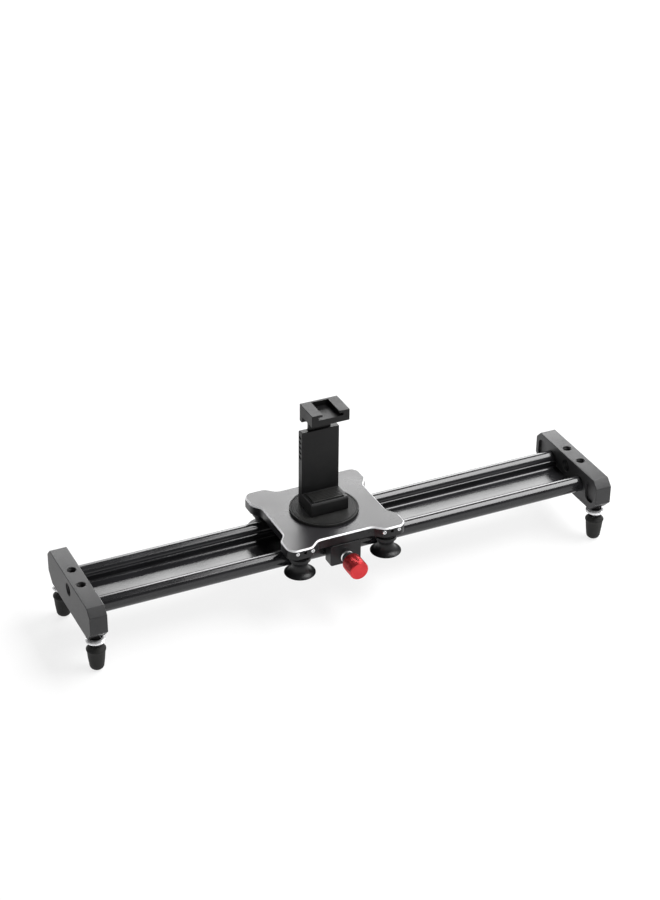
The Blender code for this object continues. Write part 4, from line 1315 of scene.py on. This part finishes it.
@dataclass
class Roller:
    """A trumpet roller, its bearing, and the bolt and spacer that carry it."""

    corner: str
    groove: float = 5.7 * MM
    hollow: float = 6.03 * MM
    flare: float = 11.0 * MM
    collar: float = 7.6 * MM
    rim: float = 0.5 * MM
    collar_height: float = 2.7 * MM

    def waist(self, height: float) -> float:
        """The radius where the roller follows the tube.

        Args:
            height: from the tube's axis.

        Returns:
            The radius.
        """
        return self.groove + self.hollow - math.sqrt(max(self.hollow**2 - height**2, 0.0))

    def level(self, radius: float) -> float:
        """The height at which the waist has a radius.

        Args:
            radius: the radius.

        Returns:
            The height from the tube's axis.
        """
        return math.sqrt(max(self.hollow**2 - (self.groove + self.hollow - radius) ** 2, 0.0))

    def build(self) -> None:
        """Makes the roller's four pieces."""
        centre = middle(f"roller_bearing_{self.corner}")
        spindle = Spindle((centre.x, centre.y, 0), Facing.UP)
        steel = BRIGHT_STEEL.make(spindle, f"_roller_{self.corner}")
        top, bottom = self.level(self.collar), -self.level(self.flare)
        curve = [top + (bottom - top) * step / 26 for step in range(27)]
        seat, bore, neck = 2.3 * MM, 4.8 * MM, 3.4 * MM
        head, foot = top + self.collar_height, bottom - self.rim
        profile = [
            (self.collar - 0.5 * MM, head),
            (self.collar, head - 0.5 * MM),
            *[(self.waist(height), height) for height in curve],
            (self.flare, bottom - 0.25 * MM),
            (self.flare - 0.3 * MM, foot),
            (bore + 2.2 * MM, foot),
            (bore + 1.6 * MM, foot + 0.6 * MM),
            (bore, foot + 0.6 * MM),
            (bore, seat),
            (neck, seat),
            (neck, head),
        ]
        body = turned(profile, 72)
        riding = f"roller_{self.corner}"
        place_piece(
            put(body, centre),
            f"trumpet_roller_{self.corner}",
            riding,
            ROLLER_PLASTIC.make(spindle, f"_{self.corner}"),
            riding,
            smooth=30,
        )
        race = 2.0 * MM
        upper = [
            (4.5 * MM, race - 0.2 * MM),
            (4.3 * MM, race),
            (3.95 * MM, race),
            (3.9 * MM, race - 0.35 * MM),
            (3.25 * MM, race - 0.35 * MM),
            (3.2 * MM, race),
            (2.5 * MM, race),
            (2.3 * MM, race - 0.2 * MM),
        ]
        bearing = turned(upper + [(radius, -height) for radius, height in reversed(upper)], 48)
        place_piece(
            put(bearing, centre),
            f"ball_bearing_{self.corner}",
            riding,
            steel,
            f"roller_bearing_{self.corner}",
        )
        self.axle(centre, steel)

    def axle(self, centre: Vector, steel: bpy.types.Material) -> None:
        """Makes the bolt and the spacer.

        Args:
            centre: the bearing's middle.
            steel: their material.
        """
        low, high = ends(f"roller_bolt_{self.corner}")
        head_top = centre.z - 2.3 * MM - low.z
        tall = high.z - low.z
        shank, head = 2.0 * MM, 4.2 * MM
        profile = [
            (0, tall),
            (shank - 0.3 * MM, tall),
            (shank, tall - 0.3 * MM),
            (shank, head_top),
            (head, head_top),
            (head, 0.7 * MM),
            (head - 0.4 * MM, 0.2 * MM),
            (head - 0.9 * MM, 0),
            (0, 0),
        ]
        bolt = carve(turned(profile, 40), [key_hole(1.73 * MM, 1.6 * MM)])
        place_piece(
            put(bolt, (centre.x, centre.y, low.z)),
            f"axle_bolt_{self.corner}",
            "carriage",
            steel,
            f"roller_bolt_{self.corner}",
        )
        low, high = ends(f"roller_spacer_{self.corner}")
        tall = high.z - low.z
        spacer = turned([(3.1 * MM, tall), (3.1 * MM, 0), (2.3 * MM, 0), (2.3 * MM, tall)], 36)
        soften(spacer, 0.15 * MM, 1)
        place_piece(
            put(spacer, (centre.x, centre.y, low.z)),
            f"axle_spacer_{self.corner}",
            "carriage",
            steel,
            f"roller_spacer_{self.corner}",
        )


@dataclass
class Brake:
    """The bracket under the plate's front edge, and the screw that presses a nylon pad on the tube."""

    knob_radius: float = 6.9 * MM
    knob_socket: tuple[float, float] = (2.8 * MM, 5 * MM)
    collar_radius: float = 4.6 * MM
    collar_groove: float = 0.6 * MM
    screw_radius: float = 2.05 * MM
    screw_pitch: float = 0.8 * MM
    pad_radius: float = 2.4 * MM
    teeth: int = 40
    rib: float = 0.22 * MM
    bolt_radii: tuple[float, float] = (1.5 * MM, 2.6 * MM)
    bolt_head: float = 2 * MM

    def build(self) -> None:
        """Makes the brake's pieces."""
        low, high = ends("brake_bracket")
        knob = middle("brake_knob")
        self.bracket(low, high, knob)
        spindle = Spindle((knob.x, 0, knob.z), Facing.FRONT)
        steel = BRIGHT_STEEL.make(spindle, "_brake")
        low, high = ends("brake_knob")
        length = high.y - low.y
        radius = self.knob_radius
        socket, deep = self.knob_socket
        profile = [
            (0, length - 0.12 * MM),
            (radius - 1.5 * MM, length - 0.12 * MM),
            (radius - 1.3 * MM, length),
            (radius - 0.75 * MM, length),
            (radius - 0.15 * MM, length - 0.6 * MM),
            (radius, length - 0.9 * MM),
            (radius, length * 0.5),
            (radius, 0.9 * MM),
            (radius - 0.15 * MM, 0.6 * MM),
            (radius - 0.7 * MM, 0),
            (socket, 0),
            (socket, deep),
            (0, deep),
        ]
        shape = turned(profile, 2 * self.teeth)
        ribbed(shape, radius - 0.05 * MM, self.rib, self.teeth, 0.8 * MM, length - 0.8 * MM)
        place_piece(
            put(shape, (knob.x, high.y, knob.z), Facing.FRONT),
            "ribbed_red_knob",
            "brake_knob",
            RED_METAL.make(spindle),
            "brake_knob",
            smooth=26,
        )
        low, high = ends("brake_collar")
        tall = high.y - low.y
        wide, groove = self.collar_radius, self.collar_groove
        profile = [
            (wide, tall),
            (wide, tall * 0.42),
            (wide - groove, tall * 0.36),
            (wide - groove, tall * 0.28),
            (wide, tall * 0.22),
            (wide, 0.3 * MM),
            (wide - 0.3 * MM, 0),
            (socket, 0),
            (socket, tall),
        ]
        collar = put(turned(profile, 56), (knob.x, high.y, knob.z), Facing.FRONT)
        place_piece(collar, "bright_collar", "brake_knob", steel, "brake_collar")
        low, high = ends("brake_screw")
        tall, core = high.y - low.y, self.screw_radius
        bar = turned([(0, tall), (core, tall), (core, 0.4 * MM), (core - 0.35 * MM, 0), (0, 0)], 32)
        screw = join([bar, thread(core, tall - 0.4 * MM, self.screw_pitch, 0.42 * MM)])
        put(screw, (knob.x, high.y, knob.z), Facing.FRONT)
        place_piece(screw, "brake_thread", "brake_knob", steel, "brake_screw")
        low, high = ends("brake_pad")
        pad = rod(self.pad_radius, high.y - low.y, 0.3 * MM, 36)
        put(pad, (knob.x, high.y, knob.z), Facing.FRONT)
        place_piece(pad, "nylon_brake_pad", "brake_pad", NYLON.make(spindle, "_brake"), "brake_pad")

    def bracket(self, low: Vector, high: Vector, knob: Vector) -> None:
        """Makes the bracket and the screws that hold it.

        Args:
            low: its lowest corner.
            high: its highest corner.
            knob: the middle of the knob.
        """
        size = high - low
        x, z = size.x / 2, size.z / 2
        shape = slab([(x, -z), (x, z), (-x, z), (-x, -z)], size.y)
        round_corners(shape, 1.5 * MM)
        soften(shape, 0.3 * MM, 2, 40)
        put(shape, (low + high) / 2, Facing.FRONT)
        tools = [put(drill(2.8 * MM, size.y + 2 * MM, 0.3 * MM), (knob.x, low.y, knob.z), Facing.FRONT)]
        screws = ("bracket_screw_left", "bracket_screw_right")
        for node in screws:
            place = middle(node)
            tools.append(put(drill(2.9 * MM, 2.6 * MM, 0.2 * MM), (place.x, place.y, low.z), Facing.DOWN))
            tools.append(put(drill(1.8 * MM, size.z + 1 * MM), (place.x, place.y, low.z), Facing.DOWN))
        finish = BRACKET_BLACK_AND_SIDE_SHADE.make()
        place_piece(carve(shape, tools), "rounded_bracket", "carriage", finish, "brake_bracket", smooth=20)
        shank, head = self.bolt_radii
        for node in screws:
            base, top = ends(node)
            place = (base + top) / 2
            profile = [
                (0, top.z - base.z),
                (shank, top.z - base.z),
                (shank, self.bolt_head),
                (head, self.bolt_head),
                (head, 0.25 * MM),
                (head - 0.25 * MM, 0),
                (0, 0),
            ]
            spindle = Spindle((place.x, place.y, 0), Facing.UP)
            finish = DARK_STEEL.make(spindle, f"_{node}")
            bolt = carve(turned(profile, 32), [key_hole(1.4 * MM, 1.2 * MM)])
            place_piece(put(bolt, (place.x, place.y, base.z)), f"{node}_bolt", "carriage", finish, node)


@dataclass
class CameraMount:
    """The round rubber pad on the plate and the camera screw through it."""

    radius: float = 24.5 * MM
    thickness: float = 1.8 * MM
    bore: float = 3.5 * MM
    groove: tuple[tuple[float, float], ...] = (
        (0, 0), (0.12 * MM, 0.12 * MM), (0.5 * MM, 0.12 * MM), (0.62 * MM, 0)
    )
    groove_pitch: float = 1.5 * MM
    shank: float = 2.6 * MM
    head: tuple[float, float] = (6.0 * MM, 2.8 * MM)

    def build(self) -> None:
        """Makes the pad and the screw."""
        low, high = ends("camera_pad")
        x, y = (low.x + high.x) / 2, (low.y + high.y) / 2
        rim, top = self.radius, self.thickness
        profile = [
            (rim - 0.4 * MM, top),
            (rim - 0.1 * MM, top - 0.1 * MM),
            (rim, top - 0.4 * MM),
            (rim, 0),
            (self.bore, 0),
            (self.bore, top - 0.3 * MM),
            (self.bore + 0.3 * MM, top),
        ]
        reach = 5 * MM
        while reach < rim - 2.6 * MM:
            profile += [(reach + out, top - deep) for out, deep in self.groove]
            reach += self.groove_pitch
        profile += [
            (rim - 1.75 * MM, top),
            (rim - 1.6 * MM, top - 0.4 * MM),
            (rim - 1.3 * MM, top - 0.4 * MM),
            (rim - 1.15 * MM, top),
        ]
        pad = put(turned(profile, 96), (x, y, low.z))
        place_piece(pad, "round_rubber_pad", "carriage", BLACK_RUBBER.make(), "camera_pad", smooth=30)
        low, high = ends("camera_screw")
        tall = high.z - low.z
        shank, (head, thick) = self.shank, self.head
        profile = [
            (0, tall),
            (shank - 0.4 * MM, tall),
            (shank, tall - 0.4 * MM),
            (shank, thick),
            (head, thick),
            (head, 0.4 * MM),
            (head - 0.4 * MM, 0),
            (0, 0),
        ]
        slot = brick((-7 * MM, -0.8 * MM, -OVER), (7 * MM, 0.8 * MM, 1.2 * MM))
        ridge = put(thread(shank, tall - 3.2 * MM, QUARTER_INCH_PITCH, 0.55 * MM), (0, 0, thick))
        steel = BRIGHT_STEEL.make(Spindle((x, y, 0), Facing.UP), "_camera_screw")
        screw = put(join([carve(turned(profile, 48), [slot]), ridge]), (x, y, low.z))
        place_piece(screw, "camera_thread", "carriage", steel, "camera_screw")


@dataclass
class PhoneClamp:
    """The lower jaw with its spine, the sliding upper jaw with a cold shoe, and the thumb screw."""

    width: float = 28.3 * MM
    front: float = 10.0 * MM
    back: float = 12.4 * MM
    channel: tuple[float, float] = (7.7 * MM, 10.9 * MM)
    tongue: float = 16.6 * MM
    head: float = 8.6 * MM
    shoe_slot: float = 18.8 * MM
    shoe_mouth: float = 12.7 * MM
    pad_gap: float = 0.25 * MM
    pad_ribs: int = 7
    boss: tuple[float, float] = (5.0 * MM, 3.0 * MM)
    screw_bore: float = 2.3 * MM
    knob_radius: float = 7.5 * MM
    teeth: int = 24
    rib: float = 0.55 * MM
    screw_radius: float = 1.6 * MM
    screw_pitch: float = 0.7 * MM
    tip_radius: float = 2.0 * MM

    def build(self) -> None:
        """Makes the clamp's pieces."""
        low, high = ends("clamp_base")
        x = (low.x + high.x) / 2
        y = low.y + self.front
        self.base(x, y, low.z, high.z)
        self.jaw(x, y)
        self.pads(x, y)
        self.screw(x, y)

    def pocket(self, node: str, below: float, above: float) -> bmesh.types.BMesh:
        """The cutter that a rubber pad's seat is made with.

        Args:
            node: the pad's node.
            below: how far it goes below the pad.
            above: how far it goes above the pad.

        Returns:
            The cutter's shape.
        """
        low, high = ends(node)
        gap = self.pad_gap
        return brick(
            (low.x - gap, low.y - gap, low.z - below), (high.x + gap, high.y + gap, high.z + above)
        )

    def upright(self, outline: Profile, x: float, y: float, width: float) -> bmesh.types.BMesh:
        """Gives a side outline a width across the clamp.

        Args:
            outline: (y, z) corners, from the clamp's axis and the floor.
            x: the middle of the clamp.
            y: the clamp's axis.
            width: how wide the piece is.

        Returns:
            A closed shape, in its place.
        """
        return stand(slab(outline, width), (x, y, 0))

    def base(self, x: float, y: float, bottom: float, top: float) -> None:
        """Makes the lower jaw and the hollow spine.

        Args:
            x: the middle of the clamp.
            y: the clamp's axis.
            bottom: the jaw's underside.
            top: the spine's top.
        """
        jaw_top = bottom + 9.7 * MM
        outline = [
            (-self.front, bottom),
            (self.back, bottom),
            (self.back, top - 1.2 * MM),
            (self.back - 1.2 * MM, top),
            (6.2 * MM, top),
            (6.2 * MM, jaw_top),
            (-self.front + 1.2 * MM, jaw_top),
            (-self.front, jaw_top - 1.2 * MM),
        ]
        shape = self.upright(outline, x, y, self.width)
        soften(shape, 0.35 * MM, 2)
        screw = middle("clamp_screw")
        half = self.tongue / 2 + 0.3 * MM
        front, rear = self.channel
        tools = [
            brick((x - half, y + front, bottom + 7.2 * MM), (x + half, y + rear, top + OVER)),
            put(drill(3.5 * MM, 6.9 * MM, 0.3 * MM), (x, y, bottom), Facing.DOWN),
            self.pocket("lower_jaw_pad", self.pad_gap, OVER),
        ]
        for sign in (-1, 1):
            side, inner = (x + sign * (self.width / 2 + deep) for deep in (0.5 * MM, -0.5 * MM))
            left, right = min(side, inner), max(side, inner)
            for step in range(5):
                lower = top - 22 * MM + step * 4 * MM
                far = (right, y + self.back - 1.2 * MM, lower + 2 * MM)
                tools.append(brick((left, y + 7.4 * MM, lower), far))
        shape = carve(shape, tools)
        wide, tall = self.boss
        bore, sunk = self.screw_bore, -0.5 * MM
        profile = [(wide, sunk), (wide, tall - 0.4 * MM), (wide - 0.4 * MM, tall), (bore, tall), (bore, sunk)]
        boss = put(turned(profile, 48), (x, y + self.back, screw.z), Facing.REAR)
        well = put(drill(bore, 3 * MM), (x, y + self.back, screw.z), Facing.REAR)
        shape = join([carve(shape, [well]), boss])
        place_piece(shape, "lower_jaw_and_spine", "clamp", BLACK_PLASTIC.make(), "clamp_base", smooth=12)

    def jaw(self, x: float, y: float) -> None:
        """Makes the upper jaw with its tongue and cold shoe.

        Args:
            x: the middle of the clamp.
            y: the clamp's axis.
        """
        low, high = ends("upper_jaw")
        under = high.z - self.head
        shoulder = under - 4.6 * MM
        tongue_front, tongue_back = self.channel[0] + 0.3 * MM, self.channel[1] - 0.3 * MM
        outline = [
            (-self.front, under),
            (5.6 * MM, under),
            (7.0 * MM, shoulder),
            (tongue_back, shoulder),
            (tongue_back, high.z),
            (-self.front, high.z),
        ]
        head = self.upright(outline, x, y, self.width)
        soften(head, 0.35 * MM, 2)
        slot, mouth, stop = self.shoe_slot / 2, self.shoe_mouth / 2, tongue_back - 2 * MM
        floor = high.z - 3.9 * MM
        front = y - self.front - OVER
        tools = [
            brick((x - slot, front, floor), (x + slot, y + stop, floor + 2.2 * MM)),
            brick((x - mouth, front, floor + 1 * MM), (x + mouth, y + stop, high.z + OVER)),
            self.pocket("upper_jaw_pad", OVER, self.pad_gap),
        ]
        head = carve(head, tools)
        half = self.tongue / 2
        tongue = brick((x - half, y + tongue_front, low.z), (x + half, y + tongue_back, shoulder + 0.2 * MM))
        soften(tongue, 0.3 * MM, 2)
        finish = BLACK_PLASTIC.make()
        place_piece(join([head, tongue]), "upper_jaw_and_shoe", "upper_jaw", finish, "upper_jaw", smooth=12)

    def pads(self, x: float, y: float) -> None:
        """Makes the ribbed rubber pads on both jaws.

        Args:
            x: the middle of the clamp.
            y: the clamp's axis.
        """
        for node, body, up in (("lower_jaw_pad", "clamp", 1), ("upper_jaw_pad", "upper_jaw", -1)):
            low, high = ends(node)
            shape = brick(low, high)
            soften(shape, 0.3 * MM, 2)
            face = high.z if up > 0 else low.z
            left, right, wide, deep = low.x - OVER, high.x + OVER, 0.3 * MM, 0.25 * MM
            tools = []
            for step in range(1, self.pad_ribs):
                groove = low.y + (high.y - low.y) * step / self.pad_ribs
                tools.append(brick((left, groove - wide, face - deep), (right, groove + wide, face + deep)))
            place_piece(carve(shape, tools), f"ribbed_{node}", body, BLACK_RUBBER.make(), node, smooth=12)

    def screw(self, x: float, y: float) -> None:
        """Makes the thumb screw and its nylon tip.

        Args:
            x: the middle of the clamp.
            y: the clamp's axis.
        """
        low, high = ends("clamp_knob")
        z = (low.z + high.z) / 2
        spindle = Spindle((x, 0, z), Facing.REAR)
        tall = high.y - low.y
        outer, neck, bore = self.knob_radius, self.boss[0], self.screw_bore
        profile = [
            (0, tall - 0.3 * MM),
            (outer - 2.6 * MM, tall - 0.3 * MM),
            (outer - 2.2 * MM, tall),
            (outer - 0.8 * MM, tall),
            (outer, tall - 0.8 * MM),
            (outer, tall * 0.6),
            (outer, 3.0 * MM),
            (outer - 0.5 * MM, 2.5 * MM),
            (neck, 2.0 * MM),
            (neck, 0),
            (bore, 0),
            (bore, 4.5 * MM),
            (0, 4.5 * MM),
        ]
        knob = turned(profile, 2 * self.teeth)
        ribbed(knob, outer - 0.05 * MM, self.rib, self.teeth, 2.8 * MM, tall - 0.7 * MM)
        put(knob, (x, low.y, z), Facing.REAR)
        place_piece(knob, "ribbed_thumb_knob", "clamp_knob", BLACK_PLASTIC.make(), "clamp_knob", smooth=26)
        low, high = ends("clamp_screw")
        tall, core = high.y - low.y, self.screw_radius
        bar = turned([(0, tall), (core, tall), (core, 0), (0, 0)], 28)
        shape = join([bar, thread(core, tall - 0.3 * MM, self.screw_pitch, 0.36 * MM)])
        put(shape, (x, low.y, z), Facing.REAR)
        steel = BRIGHT_STEEL.make(spindle, "_clamp_screw")
        place_piece(shape, "clamp_thread", "clamp_knob", steel, "clamp_screw")
        low, high = ends("clamp_screw_tip")
        tip = put(rod(self.tip_radius, high.y - low.y, 0.2 * MM), (x, low.y, z), Facing.REAR)
        place_piece(tip, "nylon_tip", "clamp_tip", NYLON.make(spindle, "_clamp"), "clamp_screw_tip")


@dataclass
class Dowels:
    """The dowels that join the tubes to the blocks, and the grub screws that hold them."""

    radius: float = 3.2 * MM
    edge: float = 0.4 * MM

    def build(self) -> None:
        """Makes the dowels and the grub screws."""
        grub_screw = GrubScrew(2.0 * MM, 6 * MM, 2.0 * MM)
        for corner in CORNERS:
            low, high = ends(f"rail_dowel_{corner}")
            centre = (low + high) / 2
            pin = rod(self.radius, high.x - low.x, self.edge)
            put(pin, (low.x, centre.y, centre.z), Facing.RIGHT)
            steel = BRIGHT_STEEL.make(Spindle(tuple(centre), Facing.RIGHT), f"_dowel_{corner}")
            place_piece(pin, f"joining_pin_{corner}", "slider_base", steel, f"rail_dowel_{corner}")
        for side in ("left", "right"):
            block = f"end_block_{side}"
            low, high = ends(block)
            x, deep = (low.x + high.x) / 2, low.z + 0.6 * MM
            grubs = []
            for end in ("front", "rear"):
                y = middle(f"rail_dowel_{side}_{end}").y
                grubs.append(put(grub_screw.shape(), (x, y, deep), Facing.DOWN))
            dark = DARK_STEEL.make(Spindle((x, 0, 0), Facing.UP), f"_grubs_{side}")
            place_piece(join(grubs), f"block_grub_screws_{side}", "slider_base", dark)


@dataclass
class Studio:
    """The floor, the lamps and the camera."""

    rail_y: float
    block_top: float
    eye: tuple[float, float, float] = (-0.535542, -1.108457, 0.784293)
    azimuth: float = 25.652
    elevation: float = 30.714
    roll: float = 0.636
    focal_pixels: float = 2069.277
    picture: tuple[int, int] = (660, 900)
    principal: tuple[float, float] = (333.857, 448.113)
    glow: float = 0.78

    def build(self) -> None:
        """Makes the whole studio."""
        self.camera()
        self.floor()
        self.world()
        self.lamp("overhead_softbox", (1.05, -0.16, 1.5), (1.05, -0.16, 0.0), (1.25, 1.52), 62.0)
        self.lamp("rear_panel", (0.85, 1.5, 0.78), (0.85, 0.0, 0.78), (1.1, 0.96), 24.0)
        self.lamp("rear_left_panel", (-0.15, 1.5, 0.78), (-0.15, 0.0, 0.78), (0.9, 0.96), 7.5)

    def camera(self) -> None:
        """Puts the camera at the photograph's viewpoint."""
        azimuth, elevation, roll = map(math.radians, (self.azimuth, self.elevation, self.roll))
        level = math.cos(elevation)
        ahead = Vector((math.sin(azimuth) * level, math.cos(azimuth) * level, -math.sin(elevation)))
        right = ahead.cross(Vector((0, 0, 1))).normalized()
        up = right.cross(ahead)
        across = math.cos(roll) * right + math.sin(roll) * up
        over = math.cos(roll) * up - math.sin(roll) * right
        data = bpy.data.cameras.new("photo_camera")
        width, height = self.picture
        data.sensor_width = 36.0
        data.sensor_fit = "AUTO"
        data.lens = self.focal_pixels / height * data.sensor_width
        data.shift_x = (width / 2 - self.principal[0]) / height
        data.shift_y = (self.principal[1] - height / 2) / height
        data.clip_start = 0.02
        data.clip_end = 60
        made = bpy.data.objects.new("photo_camera", data)
        place = Vector(self.eye) + Vector((0, self.rail_y, self.block_top))
        made.matrix_world = Matrix.Translation(place) @ Matrix((across, over, -ahead)).transposed().to_4x4()
        bpy.context.scene.collection.objects.link(made)
        bpy.context.scene.camera = made

    def floor(self) -> None:
        """Makes the pale floor."""
        shape = bmesh.new()
        bmesh.ops.create_circle(shape, cap_ends=True, segments=96, radius=14.0)
        made = loose(shape, "studio_floor")
        finish = bpy.data.materials.new("pale_floor")
        finish.use_nodes = True
        tree = finish.node_tree
        shader = tree.nodes["Principled BSDF"]
        shader.inputs["Roughness"].default_value = 0.9
        shader.inputs["Specular IOR Level"].default_value = 0.0
        place = tree.nodes.new("ShaderNodeTexCoord").outputs["Object"]
        soft = noise(tree, place, 3.0, 2.0, 0.5)
        tint = tree.nodes.new("ShaderNodeMix")
        tint.data_type = "RGBA"
        tint.inputs["A"].default_value = (0.93, 0.93, 0.93, 1.0)
        tint.inputs["B"].default_value = (0.95, 0.95, 0.95, 1.0)
        tree.links.new(soft, tint.inputs["Factor"])
        tree.links.new(tint.outputs["Result"], shader.inputs["Base Color"])
        glow = tree.nodes.new("ShaderNodeEmission")
        glow.inputs["Color"].default_value = (1.0, 1.0, 1.0, 1.0)
        glow.inputs["Strength"].default_value = 1.0
        path = tree.nodes.new("ShaderNodeLightPath")
        seen = path.outputs["Is Camera Ray"]
        for ray in ("Is Glossy Ray", "Is Transmission Ray"):
            either = tree.nodes.new("ShaderNodeMath")
            either.operation = "MAXIMUM"
            tree.links.new(seen, either.inputs[0])
            tree.links.new(path.outputs[ray], either.inputs[1])
            seen = either.outputs["Value"]
        share = tree.nodes.new("ShaderNodeMath")
        share.operation = "MULTIPLY"
        share.inputs[1].default_value = self.glow
        tree.links.new(seen, share.inputs[0])
        blend = tree.nodes.new("ShaderNodeMixShader")
        tree.links.new(share.outputs["Value"], blend.inputs["Fac"])
        tree.links.new(shader.outputs["BSDF"], blend.inputs[1])
        tree.links.new(glow.outputs["Emission"], blend.inputs[2])
        tree.links.new(blend.outputs["Shader"], tree.nodes["Material Output"].inputs["Surface"])
        made.data.materials.append(finish)

    def world(self) -> None:
        """Lights the room: pale at the horizon, dim overhead."""
        world = bpy.data.worlds.new("studio")
        bpy.context.scene.world = world
        world.use_nodes = True
        tree = world.node_tree
        background = tree.nodes["Background"]
        place = tree.nodes.new("ShaderNodeTexCoord").outputs["Generated"]
        parts = tree.nodes.new("ShaderNodeSeparateXYZ")
        tree.links.new(place, parts.inputs["Vector"])
        level = spread_to(tree, parts.outputs["Z"], 0.22, 0.45, 1.1, 0.09)
        shade = tree.nodes.new("ShaderNodeCombineColor")
        for channel in ("Red", "Green", "Blue"):
            tree.links.new(level, shade.inputs[channel])
        tree.links.new(shade.outputs["Color"], background.inputs["Color"])
        background.inputs["Strength"].default_value = 1.0

    def lamp(
        self,
        name: str,
        place: tuple[float, float, float],
        aim: tuple[float, float, float],
        size: tuple[float, float],
        power: float,
    ) -> None:
        """Hangs a soft box.

        Args:
            name: the lamp's name.
            place: where it hangs.
            aim: what it points at.
            size: its width and height.
            power: its power in watts.
        """
        data = bpy.data.lights.new(name, "AREA")
        data.shape = "RECTANGLE"
        data.size, data.size_y = size
        data.energy = power
        made = bpy.data.objects.new(name, data)
        made.location = place
        made.rotation_euler = (Vector(aim) - Vector(place)).to_track_quat("-Z", "Y").to_euler()
        bpy.context.scene.collection.objects.link(made)


def main() -> None:
    """Builds the slider and its studio."""
    logging.basicConfig(level=logging.INFO, format="%(name)s: %(message)s")
    scene = bpy.context.scene
    scene.view_settings.view_transform = "Standard"
    low, high = ends("end_block_left")
    Studio((low.y + high.y) / 2, high.z).build()
    Rail().build()
    EndBlock(-1, "end_block_left").build()
    EndBlock(1, "end_block_right").build()
    Dowels().build()
    for corner in CORNERS:
        ScrewFoot(corner).build()
        Roller(corner).build()
    CarriagePlate().build()
    Brake().build()
    CameraMount().build()
    PhoneClamp().build()


if __name__ == "__main__":
    main()
